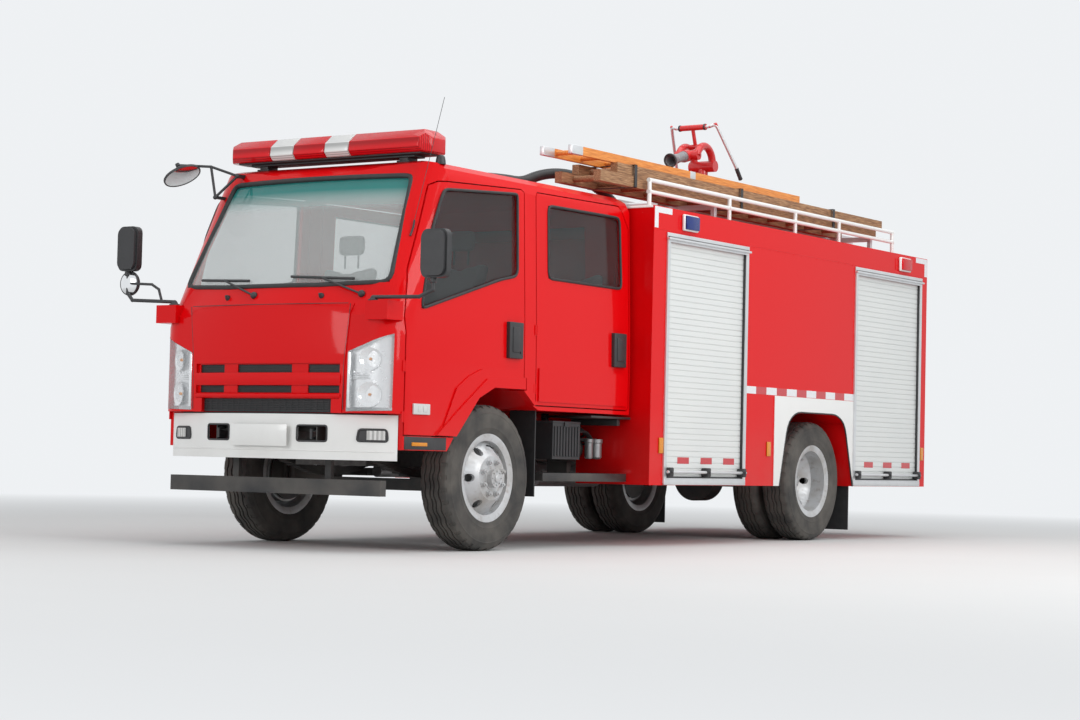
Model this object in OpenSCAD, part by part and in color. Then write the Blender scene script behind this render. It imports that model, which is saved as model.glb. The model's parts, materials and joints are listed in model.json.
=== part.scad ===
// Crew-cab fire truck: forward-control cab with four doors, water tender body.
// Millimetres. +Z is up, the truck faces -Y, its left side is +X. Inside each
// module, y is measured from the front axle and z from the ground.

/* [Running gear] */
// Distance between the front and rear axles
wheelbase = 4475; // [4400:5:4550]
// Outer diameter of the tyres
tyre_d = 970; // [950:5:980]
// Section width of the tyres
tyre_w = 235; // [215:5:240]
// Outer diameter of the rim flanges
rim_d = 590; // [570:5:600]
// Distance from each kingpin out to its wheel's centre
hub_out = 143; // [138:1:148]
// Distance between the centres of the two rear pairs
rear_track = 1650; // [1640:2:1660]
// Distance between the two tyres of a rear pair
twin_pitch = 275; // [265:1:285]
// Distance between the two kingpins
kingpin_track = 1410; // [1400:2:1420]
// Radius of the kingpins
kingpin_r = 20; // [15:1:24]
// Radius of the front spindles
spindle_r = 32; // [26:1:36]
// Radius of the rear spindles
rear_spindle_r = 45; // [40:1:50]
// Radial clearance of shafts in their bores
running_gap = 0.05; // [0.02:0.01:0.1]

/* [Chassis] */
// Front-most point of the bumper, ahead of the front axle
front_overhang = 1200; // [1190:5:1240]
// Rear-most point of the step, behind the rear axle
rear_overhang = 2125; // [2100:5:2200]
// Width over the frame rails
frame_w = 850; // [820:2:860]
// Height of the frame rails
frame_h = 180; // [170:5:190]
// Height of the frame's top above the ground
frame_top = 840; // [830:5:850]
// Thickness of the frame's steel
frame_t = 8; // [6:1:12]

/* [Cab] */
// Half of the cab's width
cab_half = 990; // [980:1:1000]
// Rear wall of the cab, behind the front axle
cab_rear = 1712; // [1700:1:1722]
// Height of the cab's roof
cab_top = 2572; // [2560:1:2600]
// Thickness of the cab's walls and doors
cab_wall = 45; // [35:1:50]
// Gap round each door
door_gap = 8; // [6:1:10]
// Radius of the front panel's curve, seen from above
nose_r = 5600; // [4800:50:7000]
// Radius of the cab's front corners
corner_r = 200; // [160:5:230]
// Radius of the windscreen's curve
screen_r = 3600; // [3000:50:5000]
// Radius of the corner pillars beside the windscreen
pillar_r = 250; // [200:5:280]
// Thickness of the glass
glass_t = 6; // [4:1:8]

/* [Fire body] */
// Half of the body's width
body_half = 1150; // [1140:1:1160]
// Front wall of the body, behind the front axle
body_front = 1745; // [1740:1:1760]
// Length of the body behind the rear axle
body_tail = 2016; // [1995:1:2035]
// Underside of the body's lockers
body_low = 447; // [440:1:470]
// Height of the body's top
body_top = 2479; // [2460:1:2500]
// Thickness of the body's walls
body_wall = 40; // [30:1:50]
// Top of the locker openings
locker_top = 2240; // [2200:5:2260]
// Top of the rear wheel arch
arch_top = 1040; // [1030:2:1060]
// Pitch of the roller shutters' slats
slat_pitch = 42; // [36:1:60]

/* [Roof gear] */
// Diameter of the roof rail's tubes
rail_d = 32; // [26:1:40]
// Height of the roof rail's top tube
rail_top = 2675; // [2650:5:2700]
// Diameter of the suction hose
hose_d = 76; // [65:1:90]
// Turning point of the monitor, ahead of the rear axle
monitor_ahead = 35; // [-200:5:200]

/* [Hidden] */
$fn = 48;

front_track = kingpin_track + 2 * hub_out;
body_rear = wheelbase + body_tail;
monitor_y = wheelbase - monitor_ahead;
overall = front_overhang + wheelbase + rear_overhang;
axle_y = front_overhang - overall / 2;   // the front axle in the part's own frame
axle_z = tyre_d / 2;
frame_low = frame_top - frame_h;
body_under = frame_top + 30;   // underside of cab and body between the rails
pump_floor = body_under + 35;
hair = 0.3;              // seat clearance between pieces that touch
far = 4000;              // longer than any cut

red = "firebrick";
black = [0.12, 0.12, 0.13];
steel = [0.62, 0.63, 0.65];
white = [0.92, 0.92, 0.9];

// Puts what is modelled from the front axle into the part's own frame.
module from_axle() translate([0, axle_y, 0]) children();
module both_sides() { children(); mirror([1, 0, 0]) children(); }
module side(s) { if (s > 0) children(); else mirror([1, 0, 0]) children(); }

// A (y, z) outline along X, an (x, z) outline along Y, an (x, y) outline along Z.
module on_x(x0, x1) translate([x0, 0, 0]) rotate([90, 0, 90]) linear_extrude(x1 - x0) children();
module on_y(y0, y1) translate([0, y1, 0]) rotate([90, 0, 0]) linear_extrude(y1 - y0) children();
module on_z(z0, z1) translate([0, 0, z0]) linear_extrude(z1 - z0) children();
module span(a, b) translate(a) cube(b - a);

// A round bar from p to q.
module bar(p, q, r) {
    d = q - p;
    translate(p) rotate([0, acos(d.z / norm(d)), atan2(d.y, d.x)]) cylinder(r = r, h = norm(d));
}
// Round bars through a list of points, with a ball at each bend.
module bent_bar(points, r) {
    for (i = [0 : len(points) - 2]) bar(points[i], points[i + 1], r);
    for (i = [1 : 1 : len(points) - 2]) translate(points[i]) sphere(r = r * 1.1);
}
function arc(c, r, a0, a1, n) = [for (i = [0 : n]) c + r * [cos(a0 + (a1 - a0) * i / n),
                                                           sin(a0 + (a1 - a0) * i / n)]];

// Cab form: four outlines cut one another. Each takes an inset, so that the
// same form gives the skin, the room inside, the doors and the glass.
belt_z = 1560;
crease_z = 1238;
door_in = 872;           // inner limit of the doors' openings
sill_z = 655;
rear_sill_z = 950;
nose_y = -1185;
corner_y = nose_y + nose_r - sqrt(pow(nose_r, 2) - pow(cab_half - corner_r, 2)) + corner_r;
screen_low = [-1125, 1690];
screen_high = [-735, 2450];
screen_lean = atan2(screen_high.x - screen_low.x, screen_high.y - screen_low.y);
arch_edge = [[-442, 752], [-195, 1010], [-20, 1085], [310, 1085], [455, 980]];

module cab_plan(inset) offset(delta = -inset) polygon(concat(
    arc([0, nose_y + nose_r], nose_r, -90 - asin((cab_half - corner_r) / nose_r),
        -90 + asin((cab_half - corner_r) / nose_r), 12),
    arc([cab_half - corner_r, corner_y], corner_r, -78, 0, 6),
    [[cab_half, cab_rear], [-cab_half, cab_rear]],
    arc([corner_r - cab_half, corner_y], corner_r, 180, 258, 6)));
module cab_section(inset) offset(delta = -inset) polygon([
    [-cab_half, sill_z], [cab_half, sill_z], [cab_half, crease_z], [cab_half - 5, belt_z],
    [cab_half - 33, 2420], [cab_half - 60, 2490], [cab_half - 120, 2530], [cab_half - 300, 2556],
    [0, cab_top], [300 - cab_half, 2556], [120 - cab_half, 2530], [60 - cab_half, 2490],
    [33 - cab_half, 2420], [5 - cab_half, belt_z], [-cab_half, crease_z]]);
module cab_profile(inset) offset(delta = -inset) polygon(concat(
    [[nose_y - 200, 882], [-985, 882], [-985, sill_z], [-520, sill_z]], arch_edge,
    [[530, rear_sill_z], [cab_rear, rear_sill_z], [cab_rear, 2440], [cab_rear - 25, 2510],
     [cab_rear - 120, cab_top - 22], [300, cab_top], [-300, cab_top - 7], [-560, cab_top - 27],
     [-660, cab_top - 62], [-730, 2460], [nose_y - 200, 2300]]));
// The leaning outline of the windscreen and its corner pillars, seen along the lean.
pillar_x = cab_half - pillar_r;
pillar_y = screen_r - sqrt(pow(screen_r, 2) - pow(pillar_x, 2)) + pillar_r * 0.98;
module screen_curve(inset) translate([0, screen_low.x, screen_low.y]) rotate([-screen_lean, 0, 0])
    translate([0, 0, -3000]) linear_extrude(6000) offset(delta = -inset) polygon(concat(
        arc([0, screen_r], screen_r, -90 - asin(pillar_x / screen_r), -90 + asin(pillar_x / screen_r), 10),
        arc([pillar_x, pillar_y], pillar_r, -76, 0, 6),
        [[cab_half, far], [-cab_half, far]],
        arc([-pillar_x, pillar_y], pillar_r, 180, 256, 6)));
module cab_form(inset) intersection() {
    on_z(0, 3000) cab_plan(inset);
    on_y(-2000, 2500) cab_section(inset);
    on_x(-1200, 1200) cab_profile(inset);
    screen_curve(inset);
}

// Hinge barrels in the gap ahead of each door: x, y of the door's front edge, heights.
hinges = [[cab_half - 4, -975, [830, 1150]], [cab_half + 2, 495, [1060, 1460]]];
barrel_r = door_gap / 2 - hair;
barrel_h = 70;
module hinge_barrels() both_sides() for (h = hinges, z = h[2]) translate([h[0], h[1] - door_gap / 2, z]) {
    cylinder(r = barrel_r, h = barrel_h);
    span([-10, -20, 0], [0, 0, barrel_h]);
}

// Door outlines, seen from the side.
module front_door_outline() polygon([
    [-975, 752], arch_edge[0], arch_edge[1], arch_edge[2], arch_edge[3], [345, 1085], [345, 2425],
    [320, 2440], [-590, 2396], [-640, 2370], [-892, 1805], [-972, 1500]]);
module rear_door_outline() polygon([
    [495, 985], [1670, 985], [1690, 1005], [1690, 2300], [1580, 2455], [520, 2440], [495, 2415]]);
module front_window_outline() polygon([
    [-825, 1556], [60, 1810], [262, 1850], [265, 2395], [245, 2405], [-560, 2350], [-590, 2320],
    [-700, 2090]]);
module rear_window_outline() polygon([
    [640, 1862], [1570, 1858], [1590, 1880], [1575, 2345], [1550, 2372], [640, 2366]]);
module screen_outline() polygon([
    [-858, 1718], [-400, 1700], [400, 1700], [858, 1718], [757, 2425], [720, 2440], [-720, 2440],
    [-757, 2425]]);
module rear_screen_outline() polygon([[-620, 1900], [620, 1900], [600, 2330], [-600, 2330]]);

tunnel_half = 520;
// The room inside: foot wells beside the tunnel, a raised floor over the wheels
// and the engine, a lower floor behind.
module cab_room() {
    on_x(-tunnel_half - 40, tunnel_half + 40) polygon([
        [-1085, body_under + 60], [-600, body_under + 60], [-560, 1130], [560, 1130], [600, 1010],
        [cab_rear, 1010], [cab_rear, 2600], [-1085, 2600]]);
    both_sides() on_x(tunnel_half + 39, cab_half) polygon([
        [-1085, 930], [-985, 930], [-985, 752], [-650, 752], [-560, 1130], [560, 1130], [600, 1010],
        [cab_rear, 1010], [cab_rear, 2600], [-1085, 2600]]);
}
module arch_space() {
    on_x(-cab_half + cab_wall, cab_half - cab_wall) polygon([
        [-600, 500], [-530, 752], [-440, 960], [-300, 1085], [340, 1085], [470, 985],
        [600, 900], [600, 500]]);
}
lamp_rear = -1000;
module lamp_outline() polygon([[652, 892], [660, 1272], [949, 1385], [946, 900]]);
module grille_outline() polygon([
    [-622, 880], [622, 880], [640, 1200], [676, 1577], [-676, 1577], [-640, 1200]]);

// Flare round the wheel arch, standing out from the doors and the pillar between them.
flare = 20;
module arch_flare() intersection() {
    difference() { cab_form(-flare); cab_form(cab_wall / 2); }
    on_x(door_in, 1200) polygon(concat(
        [[-651, 757], [-420, 925], [-102, 1139], [368, 1165], [476, 985]],
        [for (i = [len(arch_edge) - 1 : -1 : 0]) arch_edge[i]]));
}
boss = [[800, -1165, 1470], [975, -1000, 1590]];   // carries a mirror's arm

module cab_shell() color(red) from_axle() {
    difference() {
        union() {
            cab_form(0);
            both_sides() arch_flare();
        }
        intersection() { cab_form(cab_wall); cab_room(); }
        arch_space();
        span([-tunnel_half, -1300, 0], [tunnel_half, cab_rear + 10, body_under]);
        both_sides() for (shape = ["front", "rear"])
            on_x(door_in, 1200) offset(delta = door_gap) door_outline(shape);
        on_y(-1300, -500) screen_outline();
        on_y(cab_rear - 2 * cab_wall, cab_rear + 10) rear_screen_outline();
        intersection() {
            difference() { cab_form(-20); cab_form(24); }
            on_y(-1300, -900) grille_outline();
        }
        both_sides() intersection() {
            difference() { cab_form(-20); cab_form(38 + hair); }
            on_y(-1300, lamp_rear + hair) offset(delta = hair) lamp_outline();
        }
    }
    both_sides() difference() {
        span(boss[0], boss[1]);
        cab_form(cab_wall / 2);
    }
    hinge_barrels();
}

module cab_glass() color([0.35, 0.5, 0.45, 0.5]) from_axle() {
    intersection() {
        difference() { cab_form(12); cab_form(12 + glass_t); }
        on_y(-1300, -500) offset(delta = -hair) screen_outline();
    }
    on_y(cab_rear - 20, cab_rear - 20 + glass_t) offset(delta = -hair) rear_screen_outline();
}

// Grille: a sunk band with six slots behind two bars that follow the panel's curve.
slot_rows = [[1137, 1190], [1007, 1055]];
slot_cols = [[-577, -356], [-234, 222], [352, 597]];
panel_out = 8;
panel_in = 24;
band_in = 10;
// A bar of this half height and half length, round in front.
module grille_bar(z, h, half) translate([0, nose_y + nose_r, z])
    rotate([0, 0, -90 - asin(half / nose_r)]) rotate_extrude(angle = 2 * asin(half / nose_r), $fn = 1440)
        polygon([[nose_r - band_in - 2, -h], [nose_r + panel_out - 2, -h], [nose_r + panel_out + 6, -h * 0.6],
                 [nose_r + panel_out + 9, 0], [nose_r + panel_out + 6, h * 0.6],
                 [nose_r + panel_out - 2, h], [nose_r - band_in - 2, h]]);
module grille_panel() color(red) from_axle() {
    difference() {
        intersection() {
            difference() { cab_form(-panel_out); cab_form(panel_in - hair); }
            on_y(-1300, -900) offset(delta = -hair) grille_outline();
        }
        intersection() {
            difference() { cab_form(-2 * panel_out); cab_form(band_in); }
            span([-605, -1300, 971], [605, -900, 1196]);
        }
        for (row = slot_rows) for (col = slot_cols)
            span([col[0], -1300, row[0]], [col[1], nose_y + 80, row[1]]);
        span([-545, -1300, 860], [545, nose_y + 80, 971]);
    }
    grille_bar(1096, 40, 612);
    grille_bar(989, 17, 612);
}

module headlamps() color([0.85, 0.88, 0.9]) from_axle() both_sides() intersection() {
    difference() { cab_form(-2); cab_form(38); }
    on_y(-1300, lamp_rear) lamp_outline();
}

module door_outline(shape)
    if (shape == "front") front_door_outline(); else rear_door_outline();
module door_window(shape)
    if (shape == "front") front_window_outline(); else rear_window_outline();
// The pressed swage round the wheel arch and along the doors.
swage = 10;
module swage_outline() polygon([[-635, 700], [-435, 1067], [-300, 1150], [-153, 1202],
                                [514, crease_z], [1800, crease_z], [1800, 700]]);
module door(s, shape) side(s) difference() {
    union() {
        intersection() {
            difference() { cab_form(0); cab_form(cab_wall); }
            on_x(door_in + door_gap, 1200) door_outline(shape);
        }
        intersection() {
            difference() { cab_form(-swage); cab_form(cab_wall / 2); }
            on_x(door_in + door_gap, 1200) intersection() {
                swage_outline();
                offset(delta = -25) door_outline(shape);
            }
        }
        if (shape == "front") intersection() {
            arch_flare();
            on_x(door_in + door_gap, 1200) door_outline(shape);
        }
        y = shape == "front" ? 215 : 1540;
        span([cab_half - 14, y - 75, 1295], [cab_half + 22, y + 75, 1527]);
        if (shape == "front") span([cab_half - 8, -897, 885], [cab_half + 8, -727, 950]);
    }
    on_x(600, 1200) door_window(shape);
}
module door_glass(s, shape) color([0.2, 0.25, 0.25, 0.5]) from_axle() side(s) intersection() {
    difference() { cab_form(16); cab_form(16 + glass_t); }
    on_x(door_in, 1200) offset(delta = -hair) door_window(shape);
}
module door_front_left() color(red) from_axle() door(1, "front");
module door_front_right() color(red) from_axle() door(-1, "front");
module door_rear_left() color(red) from_axle() door(1, "rear");
module door_rear_right() color(red) from_axle() door(-1, "rear");
module glass_front_left() door_glass(1, "front");
module glass_front_right() door_glass(-1, "front");
module glass_rear_left() door_glass(1, "rear");
module glass_rear_right() door_glass(-1, "rear");

// Front bumper: a bowed shell, open behind, with two tow openings.
bumper_low = 584;
bumper_high = 872;
bumper_half = 974;
bumper_t = 12;
bumper_bow = 221;        // how far the middle stands ahead of the corners
bumper_r = (pow(bumper_half, 2) + pow(bumper_bow, 2)) / (2 * bumper_bow);
function bumper_y(x, inset) = bumper_r - front_overhang - sqrt(pow(bumper_r - inset, 2) - pow(x, 2));
module bumper_plan(inset) {
    a = asin((bumper_half - inset) / (bumper_r - inset));
    polygon(concat(arc([0, bumper_r - front_overhang], bumper_r - inset, -90 - a, -90 + a, 16),
                   [[bumper_half - inset, -930], [inset - bumper_half, -930]]));
}
tow = [286, 700, 214, 100];   // tow opening: inner edge x, low z, width, height
module front_bumper() color(white) from_axle() difference() {
    on_z(bumper_low, bumper_high) intersection() {
        bumper_plan(0);
        translate([-1500, -1500]) square([3000, 1500 - 990]);
    }
    on_z(bumper_low + bumper_t, bumper_high - bumper_t) bumper_plan(bumper_t);
    both_sides() span([tow[0], -1300, tow[1]], [tow[0] + tow[2], -900, tow[1] + tow[3]]);
}

underrun_y = -1075;
module underrun_bar() color(black) from_axle() {
    span([-885, underrun_y, 360], [885, underrun_y + 60, 460]);
    both_sides() {
        span([365, underrun_y + 59, 400], [415, underrun_y + 120, 460]);
        span([365, underrun_y + 90, 459], [415, underrun_y + 120, frame_low - hair]);
    }
}

// Blocks on the frame: from y, to y, height of what rests on them.
mounts = [[-920, -880, body_under], [1480, 1520, rear_sill_z],
          [body_front + 5, body_front + 35, body_under],
          [wheelbase + 595, wheelbase + 655, body_under], [body_rear - 191, body_rear - 131, body_under]];
// Frame: two channels, open inwards, with tubes and plates between them.
module chassis_frame() color(black) from_axle() {
    both_sides() intersection() {
        on_z(0, 2 * frame_top) union() {
            bumper_plan(bumper_t + hair);
            translate([-frame_w, -1000]) square([2 * frame_w, overall]);
        }
        on_y(-front_overhang, body_rear - 111) polygon([
            [frame_w / 2, frame_low], [frame_w / 2, frame_top],
            [frame_w / 2 - 70, frame_top], [frame_w / 2 - 70, frame_top - frame_t],
            [frame_w / 2 - frame_t, frame_top - frame_t],
            [frame_w / 2 - frame_t, frame_low + frame_t],
            [frame_w / 2 - 70, frame_low + frame_t], [frame_w / 2 - 70, frame_low]]);
    }
    for (y = [-1060, 1500, 2600, wheelbase - 775, wheelbase + 825, body_rear - 161])
        span([-frame_w / 2 + frame_t - 1, y - 40, frame_top - 80], [frame_w / 2 - frame_t + 1, y + 40, frame_top - 10]);
    both_sides() for (m = mounts) span([frame_w / 2 - 45, m[0], frame_top - 1], [frame_w / 2 - 5, m[1], m[2] - hair]);
}

// Front axle beam with an eye for each kingpin.
eye_r = 42;
eye_h = 80;
module front_axle() color(black) from_axle() difference() {
    union() {
        on_y(-35, 35) polygon([
            [-kingpin_track / 2, axle_z - 35], [-560, axle_z - 38], [-430, 385], [430, 385],
            [560, axle_z - 38], [kingpin_track / 2, axle_z - 35], [kingpin_track / 2, axle_z + 35],
            [560, axle_z + 38], [430, 465], [-430, 465], [-560, axle_z + 38],
            [-kingpin_track / 2, axle_z + 35]]);
        both_sides() translate([kingpin_track / 2, 0, axle_z - eye_h / 2]) cylinder(r = eye_r, h = eye_h);
        both_sides() span([350, -60, 440], [450, 60, springs[0][1] - hair]);
    }
    both_sides() translate([kingpin_track / 2, 0, 0]) cylinder(r = kingpin_r + running_gap, h = 1000);
}

// Steering knuckle: fork, kingpin, backing plate, spindle and steering arm.
lug_h = 34;
arm_y = 190;
arm_z = 425;
back_x = kingpin_track / 2 + 52;
drum_r = 205;
module knuckle(s) color(black) from_axle() side(s) {
    translate([kingpin_track / 2, 0, axle_z - eye_h / 2 - 3 - lug_h])
        cylinder(r = kingpin_r, h = eye_h + 6 + 2 * lug_h);
    for (z = [axle_z - eye_h / 2 - 3 - lug_h, axle_z + eye_h / 2 + 3]) {
        translate([kingpin_track / 2, 0, z]) cylinder(r = eye_r, h = lug_h);
        span([kingpin_track / 2, -eye_r, z], [back_x, eye_r, z + lug_h]);
    }
    difference() {
        span([kingpin_track / 2 + 25, -60, axle_z - 77], [back_x, 60, axle_z + 77]);
        translate([kingpin_track / 2, 0, axle_z - eye_h / 2 - 3]) cylinder(r = eye_r + 6, h = eye_h + 6);
    }
    translate([back_x, 0, axle_z]) rotate([0, 90, 0]) {
        cylinder(r = drum_r - 15, h = 10);
        cylinder(r = spindle_r, h = front_track / 2 + 90 - back_x);
    }
    // arm to the tie rod
    difference() {
        union() {
            translate([kingpin_track / 2, arm_y, arm_z - 32]) cylinder(r = 24, h = 20);
            span([kingpin_track / 2 - 18, 20, arm_z - 32], [kingpin_track / 2 + 18, arm_y, arm_z - 12]);
        }
        translate([kingpin_track / 2, arm_y, 0]) cylinder(r = 10 + running_gap, h = 1000);
    }
}
module knuckle_left() knuckle(1);
module knuckle_right() knuckle(-1);

module tie_rod() color(black) from_axle() {
    bar([-kingpin_track / 2, arm_y, arm_z + 16], [kingpin_track / 2, arm_y, arm_z + 16], 16);
    for (s = [-1, 1]) {
        translate([s * kingpin_track / 2, arm_y, arm_z - 10]) cylinder(r = 22, h = 46);
        translate([s * kingpin_track / 2, arm_y, arm_z - 34]) cylinder(r = 10, h = 30);
    }
}

// Tyre outline: radius outwards, width along the axle. Its beads sit inside the
// rim's flanges, whose inner faces stand at these half widths.
bead_r = rim_d / 2 - 40;
bead_w = 88;
flange_w = 98;
module tyre_outline() polygon(concat(
    [for (p = tyre_half) [p.x, -p.y]], [for (i = [len(tyre_half) - 1 : -1 : 0]) tyre_half[i]]));
tyre_half = [
    [bead_r, bead_w - hair], [rim_d / 2 - 14, flange_w - 2 - hair], [rim_d / 2 + hair, flange_w - hair],
    [rim_d / 2 + 2, tyre_w * 0.45], [(bead_r + axle_z) / 2 + 10, tyre_w / 2],
    [axle_z - 42, tyre_w * 0.48], [axle_z - 12, tyre_w * 0.42], [axle_z, tyre_w * 0.3]];
module tyre(x) translate([x, 0, axle_z]) rotate([0, 90, 0]) rotate_extrude($fn = 72) tyre_outline();

// Disc wheel: z runs outwards from the tyre's centre to the mounting face.
wheel_offset = twin_pitch / 2;
module rim_outline() polygon([
    [rim_d / 2, -flange_w - 6], [rim_d / 2, -flange_w], [rim_d / 2 - 14, 2 - flange_w],
    [bead_r - hair, -bead_w], [bead_r - hair, bead_w], [rim_d / 2 - 14, flange_w - 2],
    [rim_d / 2, flange_w], [rim_d / 2, flange_w + 6], [rim_d / 2 - 20, flange_w + 4],
    [bead_r - 8, bead_w + 4], [bead_r - 8, -bead_w - 4], [rim_d / 2 - 20, -flange_w - 4]]);
module disc_outline() polygon([
    [75, wheel_offset], [75, wheel_offset - 12], [140, wheel_offset - 12], [165, wheel_offset - 30],
    [230, 40], [bead_r - 6, 30], [bead_r - 6, 46], [238, 54], [176, wheel_offset - 20],
    [148, wheel_offset]]);
module disc_wheel() difference() {
    rotate_extrude($fn = 72) union() { rim_outline(); disc_outline(); }
    for (i = [0 : 5]) rotate([0, 0, 60 * i + 30]) translate([198, 0, 0]) cylinder(r = 27, h = 200);
}
module front_wheel(s) color(steel) from_axle() side(s)
    translate([front_track / 2, 0, axle_z]) rotate([0, 90, 0]) difference() {
        union() {
            disc_wheel();
            translate([0, 0, -70]) cylinder(r = drum_r, h = 100);
            cylinder(r = 78, h = wheel_offset + 4);
            cylinder(r = 62, h = wheel_offset + 42);
        }
        translate([0, 0, -100]) cylinder(r = spindle_r + running_gap, h = 195);
        translate([0, 0, -71]) cylinder(r = drum_r - 14, h = 20);
    }
module rear_wheels(s) color(steel) from_axle() side(s)
    translate([rear_track / 2, wheelbase, axle_z]) rotate([0, 90, 0]) difference() {
        union() {
            translate([0, 0, wheel_offset]) mirror([0, 0, 1]) disc_wheel();
            translate([0, 0, -wheel_offset]) disc_wheel();
            translate([0, 0, -170]) cylinder(r = drum_r, h = 130);
            translate([0, 0, -60]) cylinder(r = 78, h = 110);
            translate([0, 0, 20]) cylinder(r = 60, h = 70);
        }
        translate([0, 0, -180]) cylinder(r = rear_spindle_r + running_gap, h = 200);
        translate([0, 0, -171]) cylinder(r = drum_r - 14, h = 24);
    }
module tyre_front_left() color(black) from_axle() tyre(front_track / 2);
module tyre_front_right() color(black) from_axle() tyre(-front_track / 2);
module wheel_front_left() front_wheel(1);
module wheel_front_right() front_wheel(-1);
module tyres_rear(s) color(black) from_axle() translate([0, wheelbase, 0]) {
    tyre(s * (rear_track - twin_pitch) / 2);
    tyre(s * (rear_track + twin_pitch) / 2);
}
module tyres_rear_left() tyres_rear(1);
module tyres_rear_right() tyres_rear(-1);
module wheels_rear_left() rear_wheels(1);
module wheels_rear_right() rear_wheels(-1);

module rear_axle() color(black) from_axle() translate([0, wheelbase, axle_z]) rotate([0, 90, 0]) {
    translate([0, 0, -rear_track / 2 + 185]) cylinder(r = 65, h = rear_track - 370);
    translate([0, 0, -rear_track / 2 - 15]) cylinder(r = rear_spindle_r, h = rear_track + 30);
    translate([0, 90, 0]) rotate([90, 0, 0]) cylinder(r = 190, h = 180);
    for (s = [-1, 1]) translate([0, 0, s * (rear_track / 2 - 180) - 5]) cylinder(r = drum_r - 20, h = 10);
    for (s = [-1, 1]) span([axle_z + hair - springs[1][1], -60, s * 400 - 50], [0, 60, s * 400 + 50]);
}

// Leaf springs: axle y, axle pad z, half length of the main leaf, number of leaves.
springs = [[0, 475, 640, 7], [wheelbase, 552, 700, 7]];
leaf_t = 8;
module leaf_springs() color(black) from_axle() for (sp = springs) {
    rise = frame_low - 30 - sp[1] - sp[3] * leaf_t;
    r = (pow(sp[2], 2) + pow(rise, 2)) / (2 * rise);
    both_sides() on_x(365, 435) for (i = [0 : sp[3] - 1]) {
        half = sp[2] * (1 - 0.8 * i / sp[3]);
        z0 = sp[1] + (sp[3] - i) * leaf_t;
        a = asin(half / r);
        polygon(concat(arc([sp[0], z0 + r], r, -90 - a, -90 + a, 10),
                       arc([sp[0], z0 + r], r + leaf_t, -90 + a, -90 - a, 10)));
    }
    both_sides() span([360, sp[0] - 45, sp[1] + 2], [440, sp[0] + 45, sp[1] + sp[3] * leaf_t + 10]);
    both_sides() for (e = [-1, 1])
        span([380, sp[0] + e * sp[2] - 25, frame_low - 60], [420, sp[0] + e * sp[2] + 25, frame_low - hair]);
}

module engine() color(steel) from_axle() {
    span([-300, -480, 545], [300, 590, 855]);
    span([-300, -320, 850], [300, 360, 1060]);
    span([-170, 589, 560], [170, 1250, 855]);
    both_sides() span([299, -100, 700], [frame_w / 2 - frame_t - hair, 0, 760]);
}
module propshaft() color(black) from_axle() {
    bar([0, 1260, 700], [0, wheelbase - 100, axle_z + 10], 45);
    on_y(1250 + hair, 1270) translate([0, 700]) circle(r = 62);
    on_y(wheelbase - 110, wheelbase - 90 - hair) translate([0, axle_z + 10]) circle(r = 62);
}

tank_low = 1120;
tank_half = body_half - body_wall - 60;
tank_y = [wheelbase - 1275, wheelbase + 505];     // the tank's wide part
module water_tank() color(steel) from_axle() {
    on_z(tank_low, body_top - 99) {
        translate([-480, body_front + 155]) square([960, tank_y[0] - body_front - 154]);
        translate([-tank_half, tank_y[0]]) square([2 * tank_half, tank_y[1] - tank_y[0]]);
    }
    for (y = [body_front + 355, tank_y[0] + 300, tank_y[1] - 280])
        span([-frame_w / 2, y, frame_top + hair], [frame_w / 2, y + 100, tank_low]);
}
module pump() color(red) from_axle() {
    span([-260, wheelbase + 875, pump_floor + hair], [260, wheelbase + 1425, 1250]);
    for (s = [-1, 1]) translate([s * 150, wheelbase + 1725, 1050]) rotate([90, 0, 0])
        cylinder(r = 55, h = 320);
}

// Fire body: lockers on both sides, an open pump room at the rear.
// Front and rear end of each side opening.
lockers = [[body_front + 207, wheelbase - 1332], [wheelbase + 589, body_rear - 144]];
guide_w = 40;
locker_floor = 490;
rear_door_half = 700;
rear_door_low = 950;
locker_in = 560;         // half width of the wall between the lockers
module arch_outline() translate([wheelbase, 0]) polygon([
    [-735, body_low - 47], [-735, body_low], [-605, arch_top - 90], [-465, arch_top],
    [265, arch_top], [415, arch_top - 75], [575, body_low], [575, body_low - 47]]);
module fire_body() color(red) from_axle() difference() {
    span([-body_half, body_front, body_low], [body_half, body_rear, body_top]);
    // space over the frame, and the hollow round the tank
    span([-520, body_front - 1, body_low - 1], [520, body_rear + 1, body_under]);
    span([-520, body_front + body_wall, body_under - 10], [520, tank_y[0] - 10, body_top - body_wall]);
    span([body_wall - body_half, tank_y[0] - 10, tank_low - 20],
         [body_half - body_wall, tank_y[1] + 40, body_top - body_wall]);
    span([-520, tank_y[0] - 11, body_under - 10], [520, tank_y[1] + 40, tank_low - 19]);
    both_sides() {
        for (l = lockers) span([locker_in, l[0], locker_floor], [body_half + 1, l[1], locker_top]);
        on_x(locker_in, body_half + 1) arch_outline();
    }
    span([-locker_in - 1, wheelbase - 685, 0], [locker_in + 1, wheelbase + 525, body_under]);
    span([body_wall - body_half, lockers[1][0], 1000],
         [body_half - body_wall, body_rear - body_wall, locker_top]);
    span([-locker_in - 1, lockers[1][0], pump_floor], [locker_in + 1, body_rear - body_wall, 1001]);
    span([-rear_door_half, body_rear - 91, rear_door_low], [rear_door_half, body_rear + 1, locker_top]);
}

module frame_ring(w, h, t) difference() {
    square([w, h]);
    translate([t, t]) square([w - 2 * t, h - 2 * t]);
}
module locker_frames() color(steel) from_axle() {
    for (l = lockers) both_sides() on_x(body_half + hair, body_half + 12)
        translate([l[0] - guide_w / 2, locker_floor - 30])
            frame_ring(l[1] - l[0] + guide_w, locker_top - locker_floor + 60, guide_w);
    on_y(body_rear + hair, body_rear + 12) translate([-rear_door_half - guide_w / 2, rear_door_low - 30])
        frame_ring(2 * rear_door_half + guide_w, locker_top - rear_door_low + 60, guide_w);
}
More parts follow.
